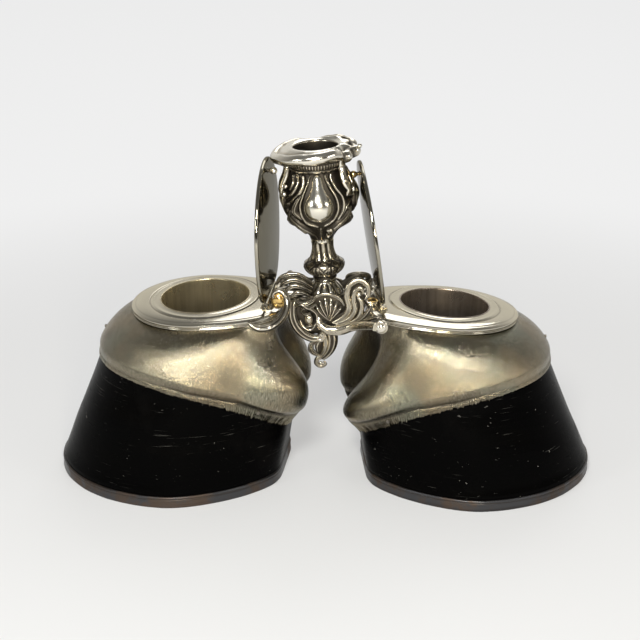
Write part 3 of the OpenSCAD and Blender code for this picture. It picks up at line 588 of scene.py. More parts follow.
def polished_plate(colours, name="polished plate", base=None, rough=0.07, tarnish=0.22, edge=1.0):
    """Polished plate: a soft cloudy tarnish, fine wiping scratches and a few pits. edge is
    how much it reflects at a flat angle."""
    f = Finish(name)
    at = f.place()
    cloud = f.noise(at, 30, 5, 0.6, 0.4)
    wipe = f.noise(f.stretched(at, (900, 120, 900)), 1.0, 3, 0.6, 0.3)
    pits = f.noise(at, 700, 2, 0.5).above(0.74, 0.8)
    hollow = f.hollow()
    silver = base or colours.silver
    mixed = f.mix((cloud.above(0.4, 0.75) * tarnish + pits * 0.3).clip(), silver,
                  shade(silver, 0.6))
    # painted shade, with oxide in the real grooves: tarnish colour where the piece is marked shaded
    mixed = f.mix((hollow * 0.9).clip(), mixed, colours.tarnish)
    roughness = rough + 0.1 * cloud.above(0.4, 0.8) + 0.05 * wipe + 0.25 * hollow
    return f.skin(mixed, roughness, 1.0, f.relief(wipe * 0.4 - pits, 0.00002, 0.6),
                  Specular_Tint=(edge, edge * 0.97, edge * 0.88, 1))


def cast_plate(colours):
    """Cast silver: ridges made bright, partly as rubbed wear and partly as a painted highlight
    on the fronts; oxide and painted shade in the hollows, on the backs and under things; soft
    casting texture.
    """
    f = Finish("cast silver")
    at = f.place()
    fine, cloud = f.noise(at, 420, 4, 0.6), f.noise(at, 60, 4, 0.6)
    hollow = f.hollow()
    # real oxide in the grooves, and painted shade on backs, undersides and the dark ground, darken
    # and roughen alike
    oxide_and_shade = (hollow * 1.15 + 0.35 * (cloud - 0.45) + 0.3 * (fine - 0.5)).above(0.18, 0.72)
    base = f.mix(cloud.above(0.4, 0.7) * 0.5, (0.62, 0.57, 0.47), (0.48, 0.41, 0.29))
    # bright where nothing is marked shaded: rubbed wear on the ridges, and a painted highlight on
    # every front
    base = f.mix(hollow.above(0.02, 0.14), (0.84, 0.80, 0.70), base)
    base = f.mix(oxide_and_shade * 0.95, base, colours.tarnish)
    rough = 0.14 + 0.1 * cloud + 0.3 * oxide_and_shade
    return f.skin(base, rough, 1.0, f.relief(fine * 0.6 + cloud, 0.00012, 0.7))


def worn_plate(colours):
    """Shoe rim: blue-grey plate rubbed through to copper-brown, scuffed along its length."""
    f = Finish("worn shoe plate")
    at = f.place()
    patch, fine = f.noise(at, 38, 6, 0.62, 0.5), f.noise(at, 260, 4, 0.6)
    band = f.noise(f.stretched(at, (14, 14, 420)), 1.0, 3)
    hollow = f.hollow()
    worn = (patch + 0.25 * (fine - 0.5)).above(0.47, 0.62)
    base = f.mix(worn * 0.6, (0.085, 0.085, 0.09), shade(colours.copper, 0.55))
    base = f.mix(band.above(0.5, 0.7) * 0.5, base, (0.04, 0.034, 0.03))
    # painted shade in the rim's groove, along the floor and under the horn
    base = f.mix((hollow * 0.9).clip(), base, (0.05, 0.042, 0.035))
    rough = 0.3 + 0.22 * worn + 0.1 * fine
    return f.skin(base, rough, 0.95, f.relief(fine * 0.5 + band * 0.5, 0.00014))


def lining(name, base, dark):
    """Well lining: dull metal, streaked down the wall and darkened towards the bottom by
    painted shade.
    """
    f = Finish(name)
    at = f.place()
    streak = f.noise(f.stretched(at, (230, 230, 9)), 1.0, 4, 0.6, 0.4)
    cloud, hollow = f.noise(at, 55, 4, 0.6, 1.2), f.hollow()
    mixed = f.mix((streak.above(0.4, 0.7) * 0.45 + cloud.above(0.5, 0.7) * 0.3).clip(), base, dark)
    # painted shade, deepening towards the well's floor
    mixed = f.mix((hollow * 0.9).clip(), mixed, shade(dark, 0.45))
    return f.skin(mixed, 0.2 + 0.16 * cloud + 0.15 * hollow, 0.88,
                  f.relief(streak + cloud * 0.6, 0.00016, 0.7))


def worn_brass(colours):
    """Brass screws and knob, darkened to brown by painted shade in the slots, round the rims
    and at the foot of the domes.
    """
    f = Finish("worn brass")
    at = f.place()
    cloud, fine, hollow = f.noise(at, 160, 4), f.noise(at, 900, 3), f.hollow()
    base = f.mix(cloud.above(0.45, 0.7) * 0.5, colours.brass, shade(colours.brass, 0.45))
    # painted shade, dark brown, in the slots, round the rims and at the domes' feet
    base = f.mix(hollow.clip(), base, (0.07, 0.04, 0.015))
    return f.skin(base, 0.16 + 0.15 * cloud + 0.25 * hollow, 1.0, f.relief(fine, 0.00003))


def dull_metal(name, base):
    """Plain dark metal with a mottled tarnish."""
    f = Finish(name)
    at = f.place()
    cloud, fine = f.noise(at, 90, 5, 0.6), f.noise(at, 600, 3)
    mixed = f.mix(cloud.above(0.4, 0.7) * 0.7, base, shade(base, 0.4))
    return f.skin(mixed, 0.38 + 0.2 * cloud, 0.9, f.relief(fine + cloud, 0.00006))


# makers of the finishes, each from the scene's colours, and the finishes made so far
MAKERS = {
    "horn": polished_horn,
    "mount": engraved_plate,
    "polished": polished_plate,
    # the lids' silver is a darker, warmer copy of the polished plate: painted reflection and shade
    # standing in for the dark surroundings the lids mirror
    "lid": lambda c: polished_plate(c, "mirror plate", (0.40, 0.375, 0.31), 0.05, 0.5, 0.4),
    "cast": cast_plate,
    "shoe": worn_plate,
    "gilt": lambda c: lining("gilt lining", c.gilt, (0.30, 0.24, 0.15)),
    "brown": lambda c: lining("brown lining", (0.36, 0.30, 0.24), (0.14, 0.11, 0.085)),
    "brass": worn_brass,
    "gilt knob": lambda c: polished_plate(c, "gilt knob", (0.62, 0.47, 0.22), 0.1, 0.5),
    "dark": lambda c: dull_metal("dark metal", (0.26, 0.235, 0.2)),
    "sole": lambda c: dull_metal("sole plate", (0.34, 0.31, 0.27)),
}
MADE = {}


def finish(name):
    """The named finish, made once from the scene's colours."""
    if name not in MADE:
        MADE[name] = MAKERS[name](bpy.context.scene.inkstand_colours)
    return MADE[name]


# ---------------------------------------------------------------- hooves
def hair_height(stand, side, x):
    """Hairline height: falls from the toe by the 2.5th power of the way to the heel."""
    h = stand.hoof
    way = np.clip((HAIR[0] - x) / (HAIR[0] + HAIR[1]), 0, 1)
    return stand.pick("hair", side) - h.hair_fall * way ** 2.5


def horn_wall(stand, side, columns=220):
    """Horn: points on the straight line from the ground outline to the hairline, rippled
    by growth rings sin(z / 0.7) and sin(z / 3.1) and by slow waves, and tucked up inside
    the mount; the inner wall is the outer one drawn in by the wall's thickness."""
    h = stand.hoof
    a = even_angles(HAIR, columns)
    ground, hair = outline(GROUND, a), outline(HAIR, a)
    n = outward(hair)
    top = hair_height(stand, side, hair[:, 0])
    u = np.concatenate([[0, 0.004], np.linspace(0.02, 1, 44)])[:, None]
    way = u * np.ones(columns)
    z = h.shoe_h + (top - h.shoe_h) * way
    p = ground + (hair - ground) * way[..., None]
    wander = np.sin(3 * a + 2 * side) + 0.6 * np.sin(7 * a + 1) + 0.4 * np.sin(13 * a)
    rings = 0.012 * np.sin(z / 0.7 + 1.5 * wander) + 0.035 * np.sin(z / 3.1 + wander)
    rings = rings + 0.3 * np.sin(2 * a + z / 17) * np.sin(z / 11 + side)
    fade = smooth(0, 0.1, u) * (1 - smooth(0.85, 1, u))
    edge = -0.45 * (1 - smooth(0, 0.02, u))
    p = p + n * (rings * fade - 0.15 * fade + edge)[..., None]
    outer = flat3(p, z)
    tucked, inward = 12, 3.5
    share = 1 + tucked / (top - h.shoe_h)
    tuck = flat3(ground + (hair - ground) * share[:, None] - inward * n, top + tucked)[None]
    low = flat3(ground - h.wall * n, np.full(columns, h.shoe_h))[None]
    mid = flat3(hair - h.wall * n, top)[None]
    high = tuck - np.concatenate([h.wall * n, np.zeros((columns, 1))], 1)
    rows = np.concatenate([outer, tuck, high, mid, low])
    shell = Shell()
    return shell.grid(stand.from_hoof(side, rows), loop=True, flip=side < 0)


def shoe_rim(stand, side, columns=260):
    """Shoe: a rounded rim section carried round the ground outline. The section has a
    rolled bead at its top and a slightly hollow face."""
    h = stand.hoof
    a = even_angles(GROUND, columns)
    line = outline(GROUND, a)
    n = outward(line)
    t, g = h.shoe_h, h.proud
    # (outward, up, painted shade): shade in the groove, along the floor and under the horn
    section = np.array([
        (g - 0.9, 0, .6), (g - 0.35, 0.12, .2), (g - 0.05, 0.5, 0), (g, 1.0, 0),
        (g - 0.12, 2.0, 0), (g - 0.16, 3.4, 0), (g - 0.14, t - 1.9, .2), (g - 0.3, t - 1.55, .9),
        (g - 0.05, t - 1.25, .1), (g, t - 0.8, 0), (g - 0.1, t - 0.35, 0),
        (g - 0.35, t - 0.08, 0.1), (g - 0.75, t, .7), (-h.shoe_w, t, .8),
        (-h.shoe_w + 0.1, 0, .6)])
    dents = 0.07 * np.sin(5 * a + 1) + 0.06 * np.sin(11 * a) + 0.04 * np.sin(23 * a + 2) - 0.12
    out = section[:, :1] + dents * (section[:, :1] > -1)
    p = line[None] + n[None] * out[..., None]
    z = np.broadcast_to(section[:, 1:2], out.shape)
    rows = flat3(p, z)
    dark = np.broadcast_to(section[:, 2:3], out.shape)
    return Shell().grid(stand.from_hoof(side, rows), loop=True, flip=side < 0, hollow=dark)


def mount_rows(stand, side, a, u):
    """Mount surface at angles a and shares u of the way up: a cubic curve for each angle
    from the hairline to the collar. Its handles reach out to make the two heel bulbs, the
    front one low under a hollow neck (lowest on the right) and the back one high, less a
    bell-shaped hollow between them."""
    h, w = stand.hoof, stand.well
    hair, top_line = outline(HAIR, a), outline(COLLAR, a)
    n = outward(hair)
    way = (HAIR[3] - hair[:, 0]) / (HAIR[3] + HAIR[1])
    bulb, far = smooth(0.45, 1, way), smooth(-12, 12, hair[:, 1])
    cleft = smooth(0.6, 1, way) * np.exp(-(hair[:, 1] / 13) ** 2)
    base = flat3(hair + (h.skin + 0.1) * n, hair_height(stand, side, hair[:, 0]))
    inset = top_line - 1.5 * outward(top_line)
    crown = stand.top_to_hoof(side, flat3(inset, np.full(len(a), stand.collar_low - w.wire_h)))
    left = (side < 0) * (1 - far)
    low = [(h.bulb + 3 * left + (h.back_bulb - h.bulb) * far) * bulb - h.cleft * cleft,
           10 + (12 + 12 * left + 2 * far) * bulb]
    high = [11.5 - (33 - 14 * left - 21 * far) * bulb - 5 * cleft,
            -3.5 - (29 - 8 * left - 9 * far) * bulb]
    first = base + np.concatenate([n * low[0][:, None], low[1][:, None]], 1)
    second = crown + np.concatenate([n * high[0][:, None], high[1][:, None]], 1)
    u = u[:, None, None]
    v = 1 - u
    p = v ** 3 * base + 3 * v * v * u * first + 3 * v * u * u * second + u ** 3 * crown
    return p, cleft, n


def ragged(phase, seed, sizes=(1.0, 0.53, 0.31)):
    """A repeatable ragged wave of phase in 0..1: sines of unlike frequencies."""
    rng = np.random.default_rng(seed)
    total = 0
    for k, size in enumerate(sizes):
        cycles, start = rng.integers(7, 13) * (3 ** k), rng.uniform(0, 6.28)
        total = total + size * np.sin(2 * np.pi * cycles * phase + start)
    return total


def hair_mount(stand, side, columns=1440):
    """Mount: the mount surface, swollen over a fringe of combed hair. With s the distance
    above the crease, the swell is smooth(0, 4.5, s) exp(-(s - 4.5) / 15); the fringe below
    it is cut into strands of uneven length. The inner face lies a sheet's thickness in."""
    h = stand.hoof
    a = even_angles(HAIR, columns)
    u = np.concatenate([np.linspace(0, 0.06, 8, endpoint=False),
                        np.linspace(0.06, 0.4, 22, endpoint=False), np.linspace(0.4, 1, 20)])
    p, cleft, n = mount_rows(stand, side, a, u)
    du = np.roll(p, -1, 1) - np.roll(p, 1, 1)
    normal = np.cross(du, np.gradient(p, axis=0))
    normal /= np.maximum(np.linalg.norm(normal, axis=2, keepdims=True), 1e-9)
    run = np.concatenate([np.zeros((1, columns)),
                          np.linalg.norm(np.diff(p, axis=0), axis=2).cumsum(0)])
    phase = np.arange(columns) / columns
    length = np.linalg.norm(np.roll(p[0], -1, 0) - p[0], axis=1).sum()
    way = (HAIR[0] - outline(HAIR, a)[:, 0]) / (HAIR[0] + HAIR[1])

    crease_at = 2.6 + 9 * np.clip((way - 0.5) / 0.5, 0, 1) ** 2 + 0.15 * ragged(phase, 3)
    s = run - crease_at
    sharp = (0.25 + 0.75 * smooth(0.3, 0.6, way)) * (1 - 0.6 * smooth(0.93, 1, way))
    crease, fringe = bump(s, 0, 0.8) * sharp, 1 - smooth(-0.9, 0.2, s)
    swell = smooth(0, 4.5, s) * np.exp(-np.maximum(s - 4.5, 0) / 15)
    swell = swell * (0.35 + 0.65 * smooth(0.25, 0.6, way)) * (1 - 0.55 * smooth(0.85, 1, way))

    count = int(length / h.strand)
    combing = (phase * count + 0.6 * ragged(phase, 8)) % count
    strand, across = combing.astype(int), (combing % 1 - 0.5) * 2
    rng = np.random.default_rng(21 + int(side))
    reach = rng.uniform(0, 1, count + 1) ** 1.6
    reach = np.where(rng.uniform(0, 1, count + 1) < 0.05, -0.6, reach)[strand]
    combed = np.cos(np.pi * across) * 0.5 + 0.5
    fray = 0.35 + 0.65 * smooth(0.2, 0.45, way)
    lift = (0.30 * combed - 0.16) * fringe * fray - 0.55 * crease + h.swell * swell
    lift = lift + 0.35 * fringe * bump(run, 0.2, 1.4) * fray
    lift = lift + 0.3 * np.sin(6 * np.pi * phase + 1) * np.sin(run / 7) * (1 - fringe)
    outer = p + normal * lift[..., None]
    drop = (1 - smooth(0, 0.05, u))[:, None] * fray * (
        0.1 + 1.0 * reach * (1 - np.abs(across) ** 2) - 0.5 * np.abs(across) ** 3)
    outer[..., 2] -= drop
    # the inner face needs fewer rows: close together under the collar, wide at the fringe
    inner_rows = [49, 47, 45, 43, 41, 39, 37, 34, 30, 25, 18, 10, 0]
    inner = p[inner_rows] - h.skin * normal[inner_rows]
    inner[0, :, 2] = p[-1, :, 2]
    inner = np.concatenate([inner, p[:1] - np.concatenate(
        [(h.skin - 0.1) * n, np.zeros((columns, 1))], 1)])
    # painted shade, with some oxide in the engraving: in the crease under the swell, between the
    # fringe strands, in the heel cleft, under the collar and all over the inner face
    dark = 0.9 * crease + 0.65 * fringe * (1 - combed) * fray + 0.2 * bump(s, 2.2, 1.6) * sharp
    dark = dark + 0.9 * cleft * smooth(0.1, 0.35, u)[:, None] + 0.4 * smooth(0.93, 1, u)[:, None]
    dark = np.concatenate([np.clip(dark, 0, 1), np.ones(inner.shape[:2])])
    rows = np.concatenate([outer, inner])
    v = np.concatenate([run.mean(1), run.mean(1)[-1] + np.arange(1, len(inner) + 2) * 2.0])
    return Shell().grid(stand.from_hoof(side, rows), loop=True, flip=side < 0,
                        hollow=dark, span=(length, v))


# ---------------------------------------------------------------- collars and wells
def collar_plate(stand, side, columns=420):
    """Collar: straight lines from the well's circle out to the outline, domed as
    1 - exp(-d / 3.2) with d the distance in from the edge, rolled at both edges, with a
    raised ring that ends smooth(4.6, 5.9, e) from the well, and sunk to a flat seat under
    the hinge."""
    w = stand.well
    a = even_angles(COLLAR, columns)
    line = outline(COLLAR, a)
    around = np.arctan2(line[:, 1], line[:, 0])
    hole = np.stack([np.cos(around), np.sin(around)], -1) * w.well_r
    s = np.concatenate([[0, 0.006, 0.02, 0.04], np.linspace(0.07, 0.9, 64),
                        [0.93, 0.96, 0.98, 0.993, 1]])
    gap = np.linalg.norm(line - hole, axis=1)
    d = (1 - s)[:, None] * gap
    z = -w.dome * np.exp(-d / 3.2) - 0.35 * (1 - smooth(0, 0.025, s))[:, None] \
        - 0.25 * smooth(0.98, 1, s)[:, None] - 0.06 * bump(d, 2.2, 0.5)
    e = s[:, None] * gap
    z = z - (0.55 * smooth(4.6, 5.9, e) + 0.18 * bump(e, 6.0, 0.45)) * (1 - np.exp(-d / 1.5)) \
        - 0.25 * bump(e, 2.6, 1.6)
    p = hole + (line - hole) * s[:, None, None]
    seat = smooth(33.1, 33.7, -p[..., 0])
    seat = seat * (1 - smooth(BARREL_END, BARREL_END + 0.6, np.abs(p[..., 1])))
    z = z * (1 - seat) + np.minimum(z, stand.seat - 0.02) * seat
    low = stand.collar_low
    n = outward(line)
    top = flat3(p, z)
    edge = [flat3(line - 0.02 * n, np.full(columns, low + 0.95)),
            flat3(line, np.full(columns, low + 0.5)),
            flat3(line - 0.15 * n, np.full(columns, low + 0.12)),
            flat3(line - 0.5 * n, np.full(columns, low)),
            flat3(hole, np.full(columns, low))]
    rows = np.concatenate([top, np.stack(edge)])
    # painted shade: at the step into the hinge seat, in the groove beside the raised ring, by the
    # rolled edge, and under the edge
    dark = np.zeros(rows.shape[:2])
    dark[:len(s)] = 0.7 * bump(np.abs(seat - 0.5), 0, 0.3) + 0.14 * bump(d, 2.2, 0.45) \
        + 0.5 * bump(e, 6.1, 0.5)
    dark[len(s):] = 0.35
    return Shell().grid(stand.from_top(side, rows), loop=True, flip=side > 0, hollow=dark)


def moulding(stand, side, columns=300):
    """Moulding under the collar: two beads with a groove between, carried round it."""
    w = stand.well
    a = even_angles(COLLAR, columns)
    line = outline(COLLAR, a)
    n = outward(line)
    t = np.linspace(-np.pi / 2, np.pi / 2, 7)
    low, high = stand.collar_low - w.wire_h, stand.collar_low
    beads = []
    # the third number is painted shade: dark at the top and bottom of each bead, where they meet
    # each other and the collar, and on the hidden back
    for z, size in ((low + 0.45, 0.42), (low + 1.22, 0.36)):
        beads += [(-0.75 + size * math.cos(x), z + size * math.sin(x), 0.75 - 0.75 * math.cos(x))
                  for x in t]
    section = np.array(beads + [
        (-0.8, high, 0.9), (-2.7, high, 0.5), (-2.7, low, 0.5), (-0.9, low, 0.9)])
    p = line[None] + n[None] * section[:, 0][:, None, None]
    rows = flat3(p, np.broadcast_to(section[:, 1:2], p.shape[:2]))
    dark = np.broadcast_to(section[:, 2:3], p.shape[:2])
    return Shell().grid(stand.from_top(side, rows), loop=True, flip=side < 0, hollow=dark)


def well_lining(stand, side, columns=180):
    """Well: a closed wall and floor spun round the well axis. The section runs from the
    middle of the underside up the outside, over a thin rolled lip that laps the collar,
    and down the inside, which swells a little at mid depth, to the middle of the floor."""
    w = stand.well
    r, deep = w.well_r, w.well_depth
    # the third number is painted shade: it deepens down the inside towards the floor and covers the
    # hidden outside
    section = np.array([
        (0.06, -deep - 0.7, .6), (3, -deep - 0.7, .6), (r - 1.5, -deep - 0.7, .6),
        (r + 0.65, -deep - 0.6, .6), (r + 0.7, -4.6, .6), (r + 2.6, -4.5, .6),
        (r + 2.6, -4.0, .6), (r + 0.02, -3.9, .6), (r + 0.2, -0.4, .8), (r + 0.62, -0.06, .5),
        (r + 0.4, 0.14, 0), (r + 0.05, 0.16, 0), (r - 0.18, 0.0, 0), (r - 0.25, -0.5, 0),
        (r - 0.28, -3, 0.0), (r - 0.3, -deep * 0.25, .08), (r - 0.25, -deep * 0.5, .25),
        (r - 0.3, -deep * 0.75, .45), (r - 0.35, -deep + 2.5, .7), (r - 0.7, -deep + 0.5, .85),
        (r - 2.5, -deep, .9), (3, -deep, 1), (0.06, -deep, 1)])
    a = np.linspace(0, 2 * np.pi, columns, endpoint=False)
    wobble = 0.05 * np.sin(3 * a + side) + 0.03 * np.sin(8 * a)
    wall = (section[:, 0] < r) & (section[:, 1] < -1) & (section[:, 1] > -deep + 1)
    rows = spun(section, a, wobble * wall[:, None])
    dark = section[:, 2:3] + 0 * a
    return Shell().grid(stand.from_top(side, rows), flip=side < 0, hollow=dark)


# ---------------------------------------------------------------- lids and hinges
def lid_plate(stand, side, columns=320):
    """Lid, shaped closed in the hinge frame: concentric D outlines with a face domed as
    (1 - s^2)^0.9, a rolled edge, and underneath a raised rim strip round a shallow recess."""
    w = stand.well
    a = even_angles(LID, columns)
    line = outline(LID, a)
    t = w.lid_t
    s = np.array([0.02, 0.15, 0.3, 0.45, 0.6, 0.72, 0.82, 0.9, 0.945, 0.965])
    # (share of the way out, height, painted shade), over the face, round the edge and underneath;
    # the shade lies in the groove by the edge and in the recess under it
    section = [(x, t + w.lid_dome * (1 - x * x) ** 0.9, 0) for x in s]
    section += [(0.972, t + 0.03, .35), (0.98, t + 0.06, .15), (0.99, t, 0), (0.997, t - 0.3, 0),
                (1.0, t * 0.5, 0), (0.997, 0.3, 0), (0.99, 0.04, 0), (0.975, 0, 0),
                (0.95, 0, .1), (0.942, 0.16, .5), (0.93, 0.5, .45), (0.92, 0.62, .2)]
    section += [(x, 0.62 + 0.16 * (1 - x), 0.0) for x in (0.85, 0.7, 0.5, 0.3, 0.15, 0.02)]
    section = np.array(section)
    middle = np.array([4.0, 0.0])
    p = middle + (line - middle) * section[:, 0][:, None, None]
    z = section[:, 1:2] + stand.lid_low + np.zeros(columns)
    bowed = 0.10 * np.sin(2 * a + 0.4) * section[:, :1] ** 2 * (1 - section[:, :1])
    rows = flat3(p, z + bowed) + [w.hinge_back, 0, 0]
    dark = np.broadcast_to(section[:, 2:3], rows.shape[:2])
    return Shell().grid(stand.from_lid(side, rows[::-1]), flip=side < 0, hollow=dark[::-1])


def lid_knob(stand, side, columns=40):
    """Thumb knob: a turned stem with a collar and a ball, spun on the lid near its toe."""
    w = stand.well
    r = w.knob_r
    e = np.linspace(-0.38, 0.5, 15) * np.pi
    head = np.stack([r * np.cos(e), 2.15 * r / 2 + 1.45 + r * np.sin(e)], -1)
    foot = [(1.75, -0.6), (1.75, 0.1), (1.7, 0.35), (1.3, 0.55), (0.95, 0.75), (0.85, 1.0),
            (0.95, 1.25)]
    section = np.array(foot + head[1:-1].tolist() + [(0.08, head[-1, 1])])
    a = np.linspace(0, 2 * np.pi, columns, endpoint=False)
    # painted shade on the thin stem under the ball
    dark = np.where(section[:, 0] < 1.4, 0.55, 0.0) * (section[:, 1] < 2)
    at = [w.hinge_back + LID[0] - KNOB_IN, 0, stand.lid_low + w.lid_t]
    rows = spun(section, a) + at
    return Shell().grid(stand.from_lid(side, rows), flip=side < 0,
                        hollow=np.broadcast_to(dark[:, None], rows.shape[:2]))


def barrel(shell, stand, side, y0, y1, lid, columns=36):
    """Hinge barrel from y0 to y1 with rounded ends and scored rings, turning with the lid or
    fixed on the hinge axis."""
    w = stand.well
    r = w.barrel_r - 0.02
    n = max(int((y1 - y0) / 0.45), 4)
    y = np.concatenate([[y0 + 0.01], np.linspace(y0 + 0.02, y1 - 0.02, n), [y1 - 0.01]])
    edge = np.minimum(y - y0, y1 - y)
    rr = np.where(edge < 0.015, r * 0.52, r - 0.18 * np.exp(-edge / 0.25))
    a = np.linspace(0, 2 * np.pi, columns, endpoint=False)
    rows = np.stack([rr[:, None] * np.sin(a), y[:, None] + 0 * a, rr[:, None] * np.cos(a)], -1)
    put = stand.from_lid if lid else stand.from_hinge
    # painted shade where the barrel's ends meet their neighbours
    dark = np.broadcast_to((0.45 * np.exp(-edge / 0.3))[:, None], rows.shape[:2])
    shell.grid(put(side, rows), flip=side < 0, hollow=dark)


def slab(shell, put, side, low, high, soft=0.2):
    """A small block with rounded edges between two corners; the rounding is a power curve
    of the angle (a superellipse) in plan and a drawn-in ring at its top and bottom."""
    low, high = np.asarray(low, float), np.asarray(high, float)
    mid, half = (low + high) / 2, (high - low) / 2
    a = np.linspace(0, 2 * np.pi, 40, endpoint=False)
    c, s = np.cos(a), np.sin(a)
    ring = np.stack([np.sign(c) * np.abs(c) ** 0.3, np.sign(s) * np.abs(s) ** 0.3], -1) * half[:2]
    n = outward(ring)
    rows = [flat3(ring - n * inset, np.full(len(a), z)) for inset, z in (
        (soft, -half[2]), (soft * 0.3, -half[2] + soft * 0.3), (0, -half[2] + soft),
        (0, half[2] - soft), (soft * 0.3, half[2] - soft * 0.3), (soft, half[2]))]
    shell.grid(put(side, np.stack(rows) + mid), flip=side < 0, hollow=0.1)


# ---------------------------------------------------------------- bridge and candlestick
def bridge_bar(stand):
    """Bridge: a soft-edged pad on each collar, an arm from each pad to the hub with a
    superellipse section and a top ribbed as cos(2.2 y), and the hub, spun round the middle."""
    c = stand.stick
    shell = Shell()
    hub_z = c.bell_z - 2.5
    a = np.linspace(0, 2 * np.pi, 120, endpoint=False)
    y = PAD_HALF * np.sign(np.cos(a)) * np.abs(np.cos(a)) ** 0.35
    z = 1.18 * np.sign(np.sin(a)) * np.abs(np.sin(a)) ** 0.35
    rib = 0.28 * np.cos(y * 2.2) * (np.sin(a) > 0) * smooth(1.0, 0.6, np.abs(np.cos(a)))
    way = np.linspace(0, 0.985, 26)[:, None]
    for side in SIDES.values():
        slab(shell, stand.from_top, side, (PAD_FROM, -PAD_HALF, stand.seat),
             (PAD_TO, PAD_HALF, stand.seat + PAD_T), 0.5)
        end = stand.from_top(side, np.array([-43.3, 0, stand.seat + PAD_T / 2])) * [1, 0, 1]
        start = np.array([side * 4.0, 0, hub_z + 4.0 * (end[2] - hub_z) / abs(end[0])])
        line = start + (end - start) * way
        rows = np.stack([line[:, :1] + 0 * a, 0 * way + y, line[:, 2:] + z + rib - 0.2], -1)
        # painted shade between the ribs and a little over the whole arm
        dark = np.clip(0.35 - rib * 1.6, 0, 1) + 0 * way
        shell.grid(rows, flip=side > 0, hollow=dark)
    r, z = 12, c.bell_z
    section = np.array([
        (0.3, z - 5), (r - 0.8, z - 5), (r - 0.1, z - 4.4), (r - 0.6, z - 3.4),
        (r - 1.2, z - 2.6), (r - 0.5, z - 1.8), (r, z - 1.2), (r, z - 0.5), (r - 0.5, z),
        (c.bell_r, z), (0.3, z)])
    a = np.linspace(0, 2 * np.pi, 96, endpoint=False)
    # painted shade on the hub's underside, in its waist and under the bell
    shell.grid(spun(section, a), hollow=np.clip(12.2 - section[:, :1], 0, 1) * 0.7 + 0 * a)
    return shell


def bridge_screws(stand):
    """Screw heads: a dome whose height falls as (1 - (r / R)^2)^0.75, cut by a straight
    slot, and a plain domed head in the ring of the front apron."""
    shell = Shell()
    r = np.concatenate([[2.9, 2.9], np.linspace(2.85, 0.05, 26)])[:, None]
    a = np.linspace(0, 2 * np.pi, 96, endpoint=False)
    for side in SIDES.values():
        way = np.clip(1 - (r / 2.95) ** 2, 0, 1)
        x, y = r * np.cos(a), r * np.sin(a)
        z = 0.25 + 1.3 * way ** 0.75 + 0 * a
        z[0] = -0.4
        across = np.abs(x * math.sin(0.6) + y * math.cos(0.6))
        slot = (1 - smooth(0.26, 0.4, across)) * (r < 2.86)
        z = z - 0.75 * slot
        rows = np.stack([x - 40.4, y - 6, z + stand.seat + PAD_T], -1)
        # painted shade in the slot and round the head's rim
        dark = np.clip(slot + (r > 2.8) * 0.6, 0, 1) + 0 * a
        shell.grid(stand.from_top(side, rows), flip=side < 0, hollow=dark)
    out, top = stand.stick.apron_out, stand.stick.bell_z
    dome(shell, (-24.2, -1.38 * out, top + 4.4), (4.2, 3.0, 4.8))
    return shell


def fluted_bell(stand, columns=288):
    """Bell: a profile spun round, its radius lifted by twelve gadroons |cos 6a|^0.7 that
    fade towards the neck; its top leans as the candlestick does."""
    c = stand.stick
    h, r = c.bell_h, c.bell_r
    a = np.linspace(0, 2 * np.pi, columns, endpoint=False)
    profile = eased([(r - 0.6, 0), (r, 0.25), (r, 1.0), (r * 0.93, 1.5), (r * 0.97, 2.4),
                     (r * 0.93, 3.8), (r * 0.8, 5.4), (r * 0.64, 7.0), (r * 0.56, 8.3),
                     (r * 0.57, 9.0), (r * 0.6, 9.5), (r * 0.56, h)], 5)
    lobes = np.abs(np.cos(6 * a)) ** 0.7
    z = profile[:, 1:2]
    span = smooth(1.5, 2.6, z) * (1 - smooth(6.6, 8.4, z))
    swell = span * (lobes - 0.8) * (1 - 0.05 * z)
    rows = spun(profile, a, swell)
    rows[..., 2] += rows[..., 0] * math.tan(math.radians(c.lean)) * smooth(0.7, 1, z / h)
    # painted shade between the gadroons and in the grooves at their foot and top
    dark = span * (1 - smooth(0.25, 0.75, lobes))
    dark = dark + 0.7 * bump(z, 1.5, 0.35) + 0.6 * bump(z, 8.5, 0.5)
    return Shell().grid(rows + [0, 0, c.bell_z], hollow=np.clip(dark, 0, 1))


